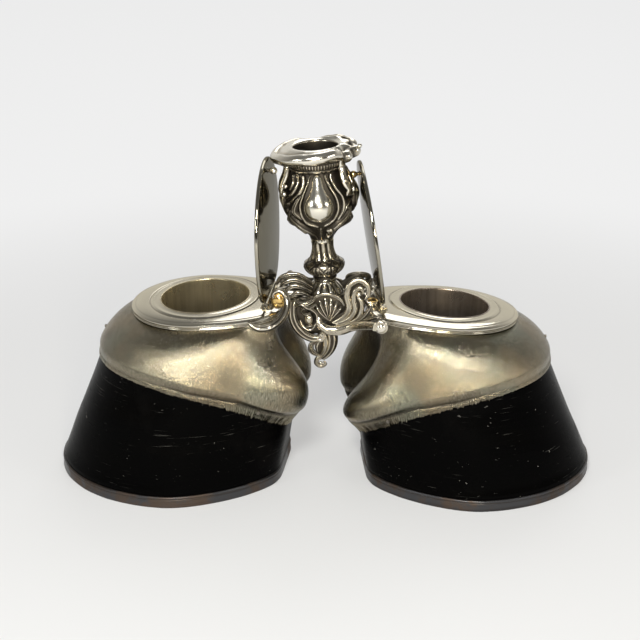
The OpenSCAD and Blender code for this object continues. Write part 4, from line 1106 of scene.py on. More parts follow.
def lobed_knop(stand, columns=320):
    """Knop and neck: a profile spun round the leaning axis; two rows of eight leaves overlap
    on the knop, and the neck is fluted."""
    c = stand.stick
    h, r = c.knop_h, c.knop_r
    a = np.linspace(0, 2 * np.pi, columns, endpoint=False)
    profile = eased([(6.0, 0), (6.5, 0.15), (6.4, 0.8), (6.6, 1.6), (8.3, 2.7), (10.0, 4.3),
                     (10.9, 6.0), (r, 7.3), (10.7, 8.8), (9.2, 10.1), (7.6, 11.3), (6.7, 12.8),
                     (6.1, 14.8), (5.75, 17), (5.8, 19.4), (6.2, h)], 7)
    z = profile[:, 1:2]
    turns = a * 8 / (2 * np.pi)
    lower, upper = (np.abs((turns + shift) % 1 - 0.5) * 2 for shift in (0, 0.5))
    lower_tip = 5.4 + 4.0 * (1 - lower) ** 0.7
    upper_tip = 8.8 + 2.6 * (1 - upper) ** 0.8
    on_lower = 1 - smooth(lower_tip - 0.45, lower_tip + 0.15, z)
    on_upper = 1 - smooth(upper_tip - 0.4, upper_tip + 0.15, z)
    rib = bump(lower, 0, 0.12) + 0.6 * bump(lower, 0.45, 0.09)
    flutes = np.abs(np.cos(5 * a + 0.06 * z)) ** 0.8
    neck = smooth(10.6, 12.5, z) * (1 - 0.5 * smooth(19, 21, z))
    body = smooth(2.0, 3.4, z)
    swell = body * (0.45 * on_lower + 0.3 * on_upper - 0.28 * rib * on_lower - 0.55 * (z < 10.5))
    swell = swell + neck * (0.9 * flutes - 0.55)
    rows = spun(profile, a, swell)
    # painted shade at the leaves' edges, along the ribs and between the neck's flutes, a little all
    # over, and most at the foot
    edge = bump(z, lower_tip + 0.35, 0.45) + bump(z, upper_tip + 0.3, 0.4) * 0.8
    dark = body * (edge * (z < 11) + 0.45 * rib * on_lower)
    dark = dark + neck * (1 - smooth(.2, .7, flutes))
    dark = dark + 0.25 + 0.7 * (1 - smooth(1.2, 2.6, z))
    return Shell().grid(stand.from_stick(rows), hollow=np.clip(dark, 0, 1))


# Ribs on one third of the cup: (grooves, points), and a point is (along, up, half width,
# height) in millimetres of the relief's drawing, from the boss's axis and the cup's foot.
CUP_RIBS = (
    # leaves that wrap the foot
    (3, ((-4.5, 2, .9, .8), (-7.5, 7.5, 1.6, 1.7), (-13, 12.6, 2.1, 2.4), (-18.8, 17, 1.7, 2),
         (-20.6, 21, .8, 1.2))),
    (3, ((4, 2, .9, .8), (6.6, 7.5, 1.6, 1.7), (11.5, 12.2, 2.1, 2.4), (17.4, 16, 1.7, 2.1),
         (20.8, 20.4, .8, 1.3))),
    (1, ((0, 1, .9, .9), (.3, 6.4, 1.5, 1.7), (.6, 11.2, .7, 1.2))),
    (2, ((20, 24.4, 1, 1.4), (15.8, 22, 1.3, 2), (13, 17.4, 1, 1.4))),
    # scrolls left of the boss
    (1, ((-17.5, 43, .8, .9), (-13, 38.7, .95, 2), (-12, 34.9, 1, 2.4), (-14.5, 30.6, 1, 2.4),
         (-19.5, 27.4, .8, 1.6))),
    (1, ((-13.2, 43.5, .9, 1), (-8.9, 39.9, 1.05, 2.2), (-8, 35.3, 1.1, 2.6),
         (-10.4, 30.2, 1.1, 2.6), (-15.4, 26.4, .9, 1.9))),
    (1, ((-18.6, 39, .7, 1.2), (-16.4, 35.4, .85, 1.8), (-18, 32, .7, 1.2))),
    (3, ((-9.6, 29.6, .6, 1.2), (-11.8, 25.6, 1.7, 2.6), (-13.2, 21.4, 1.9, 2.6),
         (-10.4, 17.6, .9, 1.4))),
    # frame of the boss, left and under
    (0, ((-3.9, 42, .45, 1), (-5.5, 36.2, .5, 1.6), (-7.9, 29.9, .6, 1.9), (-9.4, 23.2, .65, 2),
         (-7.4, 16, .6, 1.7), (-1.2, 12.8, .5, 1))),
    # frame and ribs right of the boss
    (1, ((12, 43.4, .7, 1), (9.4, 38.4, .9, 1.8), (10.6, 33, .95, 2.2), (13.6, 27.8, .9, 2.2),
         (14, 22, .85, 1.9), (11.4, 16, .7, 1.3))),
    (0, ((7.2, 44, .5, 1), (5.8, 40, .6, 1.8), (7, 34.6, .7, 2.3), (9.6, 28.6, .7, 2.4),
         (10.4, 22.4, .7, 2.2), (8.1, 16.4, .6, 1.6), (3.1, 13, .5, 1))),
    # curl at the foot
    (1, ((5.2, 9.4, .6, 1.3), (8.6, 9.8, .9, 2.2), (9.6, 6.6, .9, 2.2), (7.4, 4.6, .8, 2),
         (5.9, 6.4, .7, 1.6))))
# Free leaf on each joint of the cup: (degrees, radius, up from the cup's foot, thickness),
# and the two balls beside it.
CUP_LEAF = (
    (-40, 18.4, 49, 1.6), (-37, 17.2, 44.6, 2.2), (-37, 17.8, 40.2, 2.7), (-39, 19.8, 35.4, 2.8),
    (-37, 21.2, 31.4, 2.0), (-42, 20.8, 28.2, 0.7))
CUP_BALLS = ((-27, 21.2, 30.4, 1.5), (-26, 20.2, 34.4, 1.2))
# millimetres of the relief's drawing to a degree round the cup
CUP_SCALE = 0.325
# Lip, from its left tip round the front: (degrees, reach of its roll, top of the roll over
# the cup), and the balls under its tips: (degrees, reach, height, radius).
LIP_WAY = (
    (-180, 24.6, 7.4), (-145, 23.6, 9.0), (-107, 22.6, 10.4), (-80, 22.0, 11.0), (-60, 21.4, 11.4),
    (-44, 20.4, 10.2), (-32, 19.8, 8.0), (-16, 21.2, 8.2), (0, 23.2, 8.8), (16, 22.8, 9.8),
    (32, 21.4, 11.0), (48, 20.0, 11.5), (66, 19.6, 10.6), (90, 20.2, 8.8), (107, 20.8, 8.8),
    (124, 21.6, 10.0), (141, 22.3, 9.6), (162, 23.8, 8.4), (180, 24.6, 7.4))
LIP_BALLS = ((178, 23.0, 3.6, 1.15), (186, 21.4, 2.4, 1.0), (-4, 23.6, 8.6, 1.25),
             (-9, 22.6, 6.6, 0.95))


def drawn(x, z, ribs, height, hollow, period):
    """Lays ribs over a relief that repeats along x. A rib's section is the half ellipse
    sqrt(1 - e^2), e being the distance from its eased line over its half width, cut by
    grooves; a line of painted shade runs beside it, and painted shade with oxide marks its
    flanks and grooves."""
    for grooves, points in ribs:
        line = eased(points, 14)
        way = np.gradient(line[:, :2], axis=0)
        way /= np.linalg.norm(way, axis=1, keepdims=True)
        dx = (x[..., None] - line[:, 0] + period / 2) % period - period / 2
        dz = z[..., None] - line[:, 1]
        e = np.hypot(dx, dz) / line[:, 2]
        near = e.argmin(-1)[..., None]
        side = np.take_along_axis(dx * way[:, 1] - dz * way[:, 0], near, -1)[..., 0]
        e, near = np.take_along_axis(e, near, -1)[..., 0], near[..., 0]
        cut = 0 * e
        if grooves > 1:
            even = grooves % 2 == 0
            cut = 0.5 + 0.5 * np.cos(np.pi * (grooves * side / line[near, 2] + even))
        tall = line[near, 3] * np.sqrt(np.clip(1 - e ** 2, 0, 1)) * (1 - 0.22 * cut)
        on = e < 1
        height = np.where(on, np.maximum(tall, height * 0.25),
                          height * (1 - 0.5 * bump(e, 1.05, 0.3)))
        hollow = np.where(on, 0.22 + 0.45 * cut + 0.7 * smooth(0.7, 1, e),
                          np.maximum(hollow, bump(e, 1.1, 0.25)))
    return height, hollow


def cup_relief(a, z):
    """Repousse relief of the cup, as (height, shade) over angle and height, three times
    round: a pear-shaped boss between curved ribs and leaves on a ground darkened by painted
    shade and oxide."""
    near = (np.degrees(a) + 90 + 60) % 120 - 60
    x = near * CUP_SCALE
    inside = smooth(0.5, 3, z) * (1 - smooth(40.2, 41.2, z))
    height, hollow = drawn(x + 0 * z, z + 0 * x, CUP_RIBS, 0 * (x + z), 0.85 * inside + 0 * x,
                           120 * CUP_SCALE)
    # boss: round below, drawn up into a neck
    up = np.clip((z - 23.5) / 12.5, 0, 1)
    half = 3.5 + 2.15 * (1 + np.cos(np.pi * up))
    half = half * np.sqrt(np.clip(1 - (np.clip(23.5 - z, 0, 9) / 7.4) ** 2, 0.0001, 1))
    half = half * np.sqrt(np.clip(1 - (np.clip(z - 36, 0, 9) / 4.9) ** 2, 0.0001, 1))
    e = np.abs(x - 0.4) / half
    boss = np.sqrt(np.clip(1 - e ** 2, 0, 1))
    on = (e < 1) & (half > 0.2)
    height = np.where(on, 0.3 + 0.60 * half * boss, height)
    # painted shade round the boss's foot
    hollow = np.where(on, 0.9 * (1 - smooth(0.12, 0.3, boss)), hollow)
    height, hollow = height * inside, hollow * np.clip(inside + 0.2, 0, 1)
    # bead under the lip, with painted shade in the grooves below and above it
    height = height + 0.9 * bump(z, 42, 0.6)
    hollow = hollow + bump(z, 40.9, 0.4) * 0.9 + bump(z, 43, 0.3)
    return height, np.clip(hollow, 0, 1)


def ball(shell, centre, radius, hollow=0.0, rows=14, columns=22):
    """A small cast ball."""
    e = np.linspace(-0.5, 0.5, rows)[1:-1, None] * np.pi
    a = np.linspace(0, 2 * np.pi, columns, endpoint=False)
    p = np.stack([np.cos(e) * np.cos(a), np.cos(e) * np.sin(a), np.sin(e) + 0 * a], -1)
    return shell.grid(p * radius + centre, hollow=hollow)


def chased_cup(stand, columns=432, rows=205):
    """Cup: an eased profile spun round the leaning axis and moved along its normal by the
    relief, which is worked out for one third and repeated, with a bore for the candle's
    socket and a free leaf down each joint of the thirds."""
    c = stand.stick
    a = np.linspace(0, 2 * np.pi, columns, endpoint=False)
    k = c.cup_h / 43  # the profile, relief and leaves are drawn 43 mm high
    line = eased([(6.1, 0), (6.8, 3.2), (8.8, 6.4), (12.2, 9.4), (15.2, 12.6), (17.3, 17),
                  (18.4, 22.5), (18.1, 28), (16.5, 33), (14.4, 37.6), (13.8, 41), (14.2, 43)], 24)
    run = np.concatenate([[0], np.linalg.norm(np.diff(line, axis=0), axis=1).cumsum()])
    at = np.linspace(0, run[-1], rows)
    line = np.stack([np.interp(at, run, line[:, 0]), np.interp(at, run, line[:, 1])], -1)
    along = np.gradient(line, axis=0)
    n = np.stack([along[:, 1], -along[:, 0]], -1)
    n /= np.linalg.norm(n, axis=1, keepdims=True)
    height, dark = cup_relief(a[None, :columns // 3], line[:, 1:2])
    height, dark = np.tile(height, 3), np.tile(dark, 3)
    r = line[:, :1] + n[:, :1] * height
    z = line[:, 1:2] + n[:, 1:2] * height
    p = np.stack([r * np.cos(a), r * np.sin(a), z * k + c.knop_h], -1)
    bore = spun([(12.6, c.cup_h - 0.2), (12.3, c.cup_h - 1), (12.2, c.cup_h - 25),
                 (0.5, c.cup_h - 25)], a)
    p = np.concatenate([p, bore + [0, 0, c.knop_h]])
    # painted shade all through the bore
    dark = np.concatenate([dark, np.ones((4, columns))])
    shell = Shell().grid(stand.from_stick(p), hollow=dark)
    for turned in (0, 120, 240):
        degrees, r, z, size = np.array(CUP_LEAF + CUP_BALLS).T
        way = np.radians(degrees + turned)
        p = stand.from_stick(np.stack([r * np.cos(way), r * np.sin(way), z * k + c.knop_h], -1))
        n = len(CUP_LEAF)
        bar(shell, np.column_stack([p[:n], size[:n]]).tolist(), grooves=1, depth=0.22,
            facing=(math.cos(way[3]), math.sin(way[3]), 0), sides=28, steps=9)
        for centre, radius in zip(p[n:], size[n:]):
            ball(shell, centre, radius)
    return shell


def rolled_lip(stand, columns=360):
    """Lip: mouldings under it, a thick roll whose reach and height ease between the
    stations of LIP_WAY, a face that rises gently to the candle's mouth, and the mouth's
    wall. The roll has a leafy frill cos(15 a) on the right."""
    c = stand.stick
    a = np.linspace(-np.pi, np.pi, columns, endpoint=False)
    d = np.degrees(a)
    at, reach, rise = np.array(LIP_WAY).T
    k = np.clip(np.searchsorted(at, d, side="right") - 1, 0, len(at) - 2)
    t = smooth(0, 1, (d - at[k]) / (at[k + 1] - at[k]))
    reach = (reach[k] + (reach[k + 1] - reach[k]) * t) * c.lip_r / 23
    rise = rise[k] + (rise[k + 1] - rise[k]) * t
    evened = np.ones(5) / 5
    reach, rise = (np.convolve(np.concatenate([v[-2:], v, v[:2]]), evened, "valid")
                   for v in (reach, rise))
    frill = smooth(-52, -34, d) * (1 - smooth(24, 44, d))
    crest = 0.5 - 0.5 * np.cos(15 * a + 0.6)
    reach = reach + frill * 0.9 * np.cos(15 * a + 0.6)

    # mouldings: (share of the way out to the roll, radius, height, shade): painted shade, with
    # oxide, in the grooves between them
    share, radius, height, dark = np.array([
        (0, 14.2, -2.2, .9), (0, 15.0, -1.2, .1), (0, 15.35, -0.6, .1), (0, 15.0, -0.1, .9),
        (0, 15.6, 0.5, .6), (0.02, 16.2, 1.3, .3), (0.05, 16.5, 2.2, .3), (0.08, 16.4, 2.8, .8),
        (0.12, 16.3, 3.1, 1), (0.2, 17.2, 3.6, .2), (0.27, 17.9, 4.5, .05), (0.3, 17.7, 5.2, .8),
        (0.38, 17.4, 5.4, 1), (0.5, 17.7, 5.7, .9)]).T[..., None]
    rows = [np.stack([radius + share * (reach - 4.4 - radius),
                      height + share * (rise - 5.2 - height)], -1)]
    hatch = 0.5 + 0.5 * np.cos(a * 66)
    under = dark + 0 * a
    under[4:8] = under[4:8] * 0.5 + 0.7 * hatch
    hollow = [under]

    # roll
    size = 2.7 - 0.55 * np.sin(a) + 0.3 * frill
    bend = np.radians([-128, -105, -80, -55, -30, -5, 20, 42, 62, 80, 98, 116])[:, None]
    rows.append(np.stack([reach - size + size * np.cos(bend),
                          rise - size + size * np.sin(bend)], -1))
    # painted shade under the roll and between the frill's leaves
    dark = np.array([1, .7, .35, .1, 0, 0, 0, 0, 0, 0, .1, .3])[:, None]
    hollow.append(dark + 0.55 * frill * crest)

    # face and mouth
    mouth_r, mouth_z = c.socket_r + 0.75, 10.0 - 0.5 * np.sin(a)
    edge_r, edge_z = reach - size * 1.55, rise - size * 0.14
    way = np.array([0, .12, .3, .5, .7, .88, 1])[:, None]
    face_r = edge_r + (mouth_r + 1.0 - edge_r) * way
    face_z = edge_z + (mouth_z + 0.15 - edge_z) * smooth(0, 1, way)
    face_z = face_z + 0.5 * np.sin(np.pi * way) - 0.45 * frill * crest * (1 - way)
    rows.append(np.stack([face_r, face_z], -1))
    # painted shade at the face's outer edge, deepening down the mouth's wall
    hollow.append(np.array([.45, .15, .05, 0, 0, 0, 0])[:, None] + 0 * a)
    wall = np.array([(0.45, 0.05, 0), (0.1, -0.35, .1), (0, -1, .5), (0, -2.4, .85),
                     (0.05, -7, 1), (0.2, -11, 1)])
    rows.append(np.stack([mouth_r + wall[:, :1] + 0 * a, mouth_z + wall[:, 1:2]], -1))
    hollow.append(wall[:, 2:3] + 0 * a)

    rows, hollow = np.concatenate(rows), np.clip(np.concatenate(hollow), 0, 1)
    base = c.knop_h + c.cup_h
    p = np.stack([rows[..., 0] * np.cos(a), rows[..., 0] * np.sin(a), rows[..., 1] + base], -1)
    shell = Shell().grid(stand.from_stick(p), loop=True, hollow=hollow)
    for degrees, r, z, size in LIP_BALLS:
        way = math.radians(degrees)
        spot = np.array([r * math.cos(way), r * math.sin(way), z + base])
        ball(shell, stand.from_stick(spot), size)
    return shell


def candle_tube(stand, columns=120):
    """Candle socket: a thin tube with a floor and a rolled mouth."""
    c = stand.stick
    r, top, deep = c.socket_r, 3.6, 24
    # the third number is painted shade, deepest inside the tube
    section = np.array([
        (0.1, -deep, 1), (r + 0.5, -deep, .8), (r + 0.55, -2, .6), (r + 0.55, top - 0.5, .3),
        (r + 0.5, top - 0.15, .1), (r + 0.3, top, 0), (r + 0.1, top - 0.15, .1), (r, top - 0.6, .3),
        (r, top - 4, .6), (r, -deep * 0.5, .9), (r - 0.1, -deep + 1.2, 1), (r - 0.8, -deep + 0.6, 1),
        (0.1, -deep + 0.6, 1)])
    a = np.linspace(0, 2 * np.pi, columns, endpoint=False)
    rows = spun(section[:, :2], a) + [0, 0, c.knop_h + c.cup_h]
    return Shell().grid(stand.from_stick(rows), hollow=section[:, 2:3] + 0 * a)


# ---------------------------------------------------------------- aprons
# Scrollwork of an apron, as bars. A point is (to the right of the middle, share of the
# apron's depth, above the hub's top, radius).
# Dark sheets behind the scrolls, painted shade that fills the gaps between them: (flatness, points).
APRON_SHADE_SHEETS = (
    (.25, ((-16.4, .9, 0, 3), (-12.4, .92, -8, 4.6), (-7.5, .95, -13.6, 4), (-2, .95, -15, 2.5))),
    (.25, ((-9, .85, 0, 3.5), (2, .85, -1, 5), (9, .85, -2, 4.5), (13, .9, 2, 3.4),
           (18, .9, 7.6, 3.8), (21, .95, 8.6, 2.4))),
    (.3, ((1, .9, -10, 3), (9, .95, -9.5, 4.2), (17, 1.05, -6.5, 3.4), (24, 1.3, -4.5, 2))),
    (.25, ((11, .95, -8, 3.4), (17, 1, -3, 4.2), (18.6, 1, 3, 3.6), (19, 1, 8, 2.4))),
    (.3, ((0, 1, -17, 3), (-1.6, .98, -22, 3.6), (-1.4, .95, -27, 3), (-.4, .93, -30, 1.6))),
    (.3, ((-7, .5, 4, 3), (-13, .58, 8, 4), (-19, .6, 9.6, 3.2))))
# Scrolls: (grooves, flatness, points).
APRON_BARS = (
    # four feathers of the leaf on the left
    (4, .8, ((-6.5, .5, 8.2, .9), (-12.7, .62, 13.4, 1.6), (-18.6, .62, 14.2, 1.7),
             (-23.6, .66, 12.4, 1.4), (-26, .7, 9, .7))),
    (3, .8, ((-6.5, .6, 6.6, .9), (-12.7, .74, 11.2, 1.5), (-17.7, .76, 12, 1.6),
             (-21.9, .8, 10.4, 1.3), (-24, .82, 7.8, .6))),
    (3, .8, ((-7, .72, 5, .9), (-12.7, .88, 8.8, 1.5), (-16.9, .9, 9.3, 1.5),
             (-19.8, .94, 7.6, 1.1), (-21.1, .98, 5, .6))),
    (3, .8, ((-7.4, .88, 3.2, .8), (-12.2, 1.02, 6.2, 1.4), (-15.5, 1.05, 6.2, 1.3),
             (-17.8, 1.1, 4, .7))),
    # ribs of the shell
    (2, .8, ((2.6, 1.02, -9.6, .4), (-2.6, 1.08, -4, 1), (-4.4, 1, -.8, .6))),
    (2, .8, ((2.6, 1.02, -9.6, .4), (-.9, 1.1, -2.4, 1.1), (-2.4, 1, 1.6, .7))),
    (2, .8, ((2.7, 1.02, -9.6, .4), (1.3, 1.12, -1.8, 1.1), (.5, 1, 3, .8))),
    (2, .8, ((2.8, 1.02, -9.6, .4), (3.4, 1.12, -1.8, 1.1), (3.7, 1, 2.9, .8))),
    (2, .8, ((2.9, 1.02, -9.6, .4), (5.6, 1.1, -2.4, 1.1), (6.8, 1, 1.3, .7))),
    (2, .8, ((3, 1.02, -9.6, .4), (7.4, 1.08, -4, 1), (9.2, 1, -1.5, .6))),
    # rim of the shell
    (1, .9, ((-6.6, .98, 1.2, .7), (-5.2, 1.05, 3.8, .95), (-1.6, 1.1, 5.8, 1.05),
             (3.4, 1.1, 5.9, 1.05), (8.4, 1.05, 3.2, .95), (11, 1, -.8, .7))),
    # three nested scrolls on the right
    (1, .8, ((4.7, 1.1, -10.5, .9), (10.9, 1.15, -6.4, 1.5), (13.6, 1.15, -1, 1.8),
             (12.3, 1.1, 5.2, 1.7), (13.4, 1.05, 10.6, 1.7), (18.3, 1, 13.4, 1.8),
             (22.9, 1.05, 11.4, 1.6), (24, 1.1, 7.1, 1.2), (22, 1.15, 3.4, .8))),
    (1, .9, ((6.3, 1.15, -10.9, .8), (13.4, 1.2, -7.3, 1.3), (16.8, 1.2, -1.9, 1.5),
             (15.9, 1.15, 3.5, 1.4), (16.7, 1.12, 8.2, 1.3), (20, 1.12, 9.7, 1.2),
             (21, 1.15, 6.8, .8))),
    (1, .9, ((8.4, 1.15, -11.4, .8), (16.8, 1.22, -8.1, 1.3), (20.1, 1.25, -2.7, 1.4),
             (20.1, 1.22, 2.4, 1.2), (18, 1.2, 5.2, .8))),
    # leaves along the right arm
    (3, .8, ((11.8, 1.2, -12, .8), (20.1, 1.3, -7.2, 1.5), (24.3, 1.4, -1.8, 1.6),
             (25.6, 1.45, 2, .7))),
    (3, .8, ((16.8, 1.25, -10.6, .8), (23.5, 1.5, -6.1, 1.5), (28, 1.8, -2.8, 1.5),
             (31.2, 1.9, -3.2, .5))),
    # curled leaves on the left
    (3, .8, ((-16, 1.15, 3.2, .6), (-11, 1.25, 1.2, 1.4), (-6.8, 1.2, 2.4, 1.2),
             (-4.6, 1.1, 4.4, .5))),
    (2, .8, ((-15.4, 1.15, -1.2, .6), (-12.2, 1.25, 1, 1.1), (-8.3, 1.22, -1.4, 1.3),
             (-4.2, 1.12, .4, .5))),
    (2, .9, ((-12.6, 1.1, -5, .7), (-11, 1.2, -1.6, 1.1), (-7.2, 1.2, -2, 1.1),
             (-4.2, 1.15, -5.2, 1), (-4.2, 1.15, -9.6, 1.1), (-6.8, 1.18, -13.6, 1.1),
             (-10.6, 1.18, -12.8, 1.1), (-12.8, 1.12, -8.8, .8))),
    (2, .9, ((-11.6, 1.25, -4, .5), (-9.2, 1.32, -4.6, 1), (-7.2, 1.3, -4, .6))),
    (2, .9, ((-5.6, 1.22, -11.8, .5), (-7.4, 1.3, -10.8, 1), (-9.6, 1.28, -11.8, .6))),
    # C scroll that carries the pendant
    (3, .8, ((-12, .7, 3.4, 1.4), (-16.2, 1, 2.8, 2.2), (-17.2, 1.12, -4.6, 2.4),
             (-15.4, 1.14, -11.4, 2.5), (-11.6, 1.14, -16.2, 2.5), (-6.8, 1.14, -18.9, 2.4),
             (-3.2, 1.14, -18.7, 2), (-1.8, 1.14, -17, 1.2))),
    # pendant, its rib, and the leaf and curl beside it
    (3, .9, ((2.6, 1.05, -12.6, 2.5), (4.1, 1.08, -17.4, 3.1), (4.3, 1.06, -21.5, 3.1),
             (3.4, 1.04, -25.5, 2.7), (1.3, 1, -29.1, 2.2), (-1.2, .97, -31.6, 1.7))),
    (1, .9, ((-1, 1.14, -15.4, 1.3), (.8, 1.16, -20.5, 1.7), (.3, 1.14, -25.2, 1.5),
             (-1.2, 1.06, -28.8, .9))),
    (4, .8, ((-3.2, 1.1, -20.4, .8), (-6.6, 1.12, -22.6, 1.5), (-7, 1.1, -26, 1.7),
             (-4.6, 1.05, -28.8, 1.4), (-1.4, 1, -30.2, .6))),
    (2, .8, ((-2.2, 1.15, -20.2, .9), (-3.8, 1.18, -23.4, 1.3), (-3.4, 1.14, -26.8, .8))),
    (1, .9, ((-.8, .97, -30.6, 1.5), (-3.6, .95, -32.2, 1.4), (-4.3, .94, -35, 1.25),
             (-1.8, .94, -36.8, 1.1), (.6, .95, -35.4, .9), (-.2, .96, -33.6, .6))))
# Left arm: a ring round the brass dome, which runs on under the collar's corner, and the
# stub that ties it to the leaf.
LEFT_RING = ((-27, 1.55, 6.2, .8), (-26.8, 1.5, 8.8, 1.3), (-23.8, 1.48, 10.2, 1.7),
             (-20.7, 1.5, 8, 1.9), (-19.4, 1.6, 4, 2), (-20.2, 1.78, .2, 2), (-23, 2.05, -3.2, 2))
LEFT_TIE = ((-20, 1.5, 3, 1.6), (-17.6, 1.2, 3, 1.8), (-14.5, 1, 2, 1.5))
# Right arm, up to its last stretch.
RIGHT_ARM = ((-2.8, 1.1, -7.4, 1.3), (-2.6, 1.16, -10.4, 2.1), (1.4, 1.18, -13.7, 2.6),
             (8.4, 1.2, -14, 2.75), (16, 1.3, -10.9, 2.6))


def apron(stand, face):
    """Apron: cast scrolls, leaves, a shell and a pendant, all bars along eased lines
    between the two collars. face is -1 for the front and 1 for the back, whose upper
    leaves lie lower."""
    c = stand.stick
    top, out, thick = c.bell_z, face * c.apron_out, c.bar_r / 2.6
    tall = 1.0 if face < 0 else 0.4
    shell = Shell()

    def spots(points):
        """Table points in millimetres of the row frame."""
        return [[x, share * out, top + (z * tall if z > 0 else z), r * thick]
                for x, share, z, r in points]

    def stroke(points, **how):
        """A bar that faces outward."""
        bar(shell, points, facing=(0, face, 0), **how)

    def corner(side):
        """Heel corner of a collar on this face."""
        return stand.from_top(side, np.array([-39.3, face * 27.5, -stand.well.dome]))

    # a dark boss behind the scrolls, half covered by painted shade
    dome(shell, (0, face * 13.2, top - 7), (7.4, 3.8, 4.9), face, hollow=0.5)
    # sheets darkened by painted shade all over, standing for the shade in the gaps
    for flat, points in APRON_SHADE_SHEETS:
        stroke(spots(points), grooves=1, depth=0.02, flat=flat, sides=20, back=0.5, ground=0.75)
    # a little painted shade over all the scrolls
    for grooves, flat, points in APRON_BARS:
        stroke(spots(points), grooves=grooves, depth=0.16 if grooves == 1 else 0.3, flat=flat,
               sides=20 + 5 * grooves, back=0.25, ground=0.12)

    left = corner(-1.0)
    under = [[*(left + [x, face * y, z]), r * thick] for x, y, z, r in (
        (1, 4.2, -2.5, 2.2), (-4.6, 3.8, -3.7, 1.9), (-8.6, 4.1, -2, 1.4), (-10.4, 3.4, -.4, .8))]
    ring = spots(LEFT_RING)
    stroke(ring[0 if face < 0 else 3:] + under, grooves=2, depth=0.22, sides=32, back=0.2)
    stroke(spots(LEFT_TIE), grooves=2, depth=0.3, sides=26)

    # the right arm ends in a ball with a rosette curl on its face
    end = corner(1.0) + [1.5, face * 5.1, -2]
    near = (np.array([17, 1.3 * out, top - 10]) + end) / 2
    stroke(spots(RIGHT_ARM) + [[*near, 2.4 * thick], [*end, 2.0 * thick]],
           grooves=1, depth=0.08, flat=0.95, sides=36, back=0.2)
    ball(shell, end, 3.7)
    stroke(curl((end[0], end[2]), 200, 3.3, 1.6, 1.1, end[1] + face * 2.2),
           grooves=1, depth=0.2, sides=20)

    # eye of the C scroll, bead of the curled leaf, and the beads of scroll and pendant
    stroke(curl((-2.3, top - 18.4), 90, 1.6, 1.1, 1.3 * thick, 1.2 * out),
           grooves=1, depth=0.15, sides=20)
    # a little painted shade over the whole bead
    dome(shell, (-8.2, 1.2 * out, top - 7.6), (2.3, 2.2, 3.2), face, hollow=0.2)
    ball(shell, np.array([18.7, 1.2 * out, top + 6.6 * tall]), 1.5)
    ball(shell, np.array([-1.9, 0.99 * out, top - 34.6]), 1.1)
    return shell


# ---------------------------------------------------------------- operators
def the_stand():
    """The stand with the settings the scene holds now."""
    return Stand(bpy.context.scene)


def repaint(material, slot, *nodes):
    """Gives carried-over solids their finish."""
    for name in nodes:
        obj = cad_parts[name]
        obj.data.materials.clear()
        obj.data.materials.append(material)


class INKSTAND_OT_hooves(bpy.types.Operator):
    """Build the polished horn and the plated shoes"""
    bl_idname = "inkstand.hooves"
    bl_label = "Hooves and shoes"

    def execute(self, context):
        s = the_stand()
        for name, side in SIDES.items():
            place(name + "_horn", horn_wall(s, side), finish("horn"), "stand", [name + "_hoof"],
                  40)
            place(name + "_shoe_rim", shoe_rim(s, side), finish("shoe"), "stand",
                  [name + "_shoe"], 50)
            repaint(finish("sole"), "shoe_plate", name + "_sole_plate", name + "_shoe_pins")
        return {"FINISHED"}


class INKSTAND_OT_mounts(bpy.types.Operator):
    """Build the engraved mounts with their fringe of hair, and their rivets"""
    bl_idname = "inkstand.mounts"
    bl_label = "Engraved mounts"

    def execute(self, context):
        s = the_stand()
        for name, side in SIDES.items():
            place(name + "_mount", hair_mount(s, side), finish("mount"), "stand",
                  [name + "_coronet"], 60)
            repaint(finish("dark"), "dark_metal", name + "_coronet_pins")
        return {"FINISHED"}


class INKSTAND_OT_collars(bpy.types.Operator):
    """Build the collars, their mouldings and the well linings"""
    bl_idname = "inkstand.collars"
    bl_label = "Collars and wells"

    def execute(self, context):
        s = the_stand()
        for name, side in SIDES.items():
            place(name + "_collar_plate", collar_plate(s, side), finish("polished"), "stand",
                  [name + "_collar"], 42)
            place(name + "_moulding", moulding(s, side), finish("polished"), "stand",
                  [name + "_collar_wire"], 50)
            metal = finish("gilt" if side < 0 else "brown")
            place(name + "_lining", well_lining(s, side), metal, "stand",
                  [name + "_well_liner"], 50)
        return {"FINISHED"}


class INKSTAND_OT_lids(bpy.types.Operator):
    """Build the lids with their knobs, and the hinge barrels"""
    bl_idname = "inkstand.lids"
    bl_label = "Lids and hinges"

    def execute(self, context):
        s = the_stand()
        for name, side in SIDES.items():
            body = name + "_lid"
            place(name + "_lid_plate", lid_plate(s, side), finish("lid"), body, [name + "_lid"],
                  50)
            knob = finish("cast" if side < 0 else "gilt knob")
            place(name + "_thumb_knob", lid_knob(s, side), knob, body, [name + "_lid_knob"],
                  50)
            turning, fixed = Shell(), Shell()
            half = BARREL_MID - 0.1
            barrel(turning, s, side, -BARREL_MID, BARREL_MID, True)
            slab(turning, s.from_lid, side, (-0.2, -half, -0.78), (2.4, half, 0.68), 0.15)
            place(name + "_lid_barrel", turning, finish("polished"), body,
                  [name + "_lid_knuckle"], 45)
            near = BARREL_MID + 0.3
            for y0, y1 in ((-BARREL_END, -near), (near, BARREL_END)):
                barrel(fixed, s, side, y0, y1, False)
                slab(fixed, s.from_hinge, side, (-1.68, y0 + 0.05, -2.0),
                     (1.68, y1 - 0.05, -0.1), 0.15)
            place(name + "_hinge_barrels", fixed, finish("polished"), "stand",
                  [name + "_hinge_knuckles"], 45)
            repaint(finish("polished"), "polished_silver", name + "_hinge_pin")
        return {"FINISHED"}


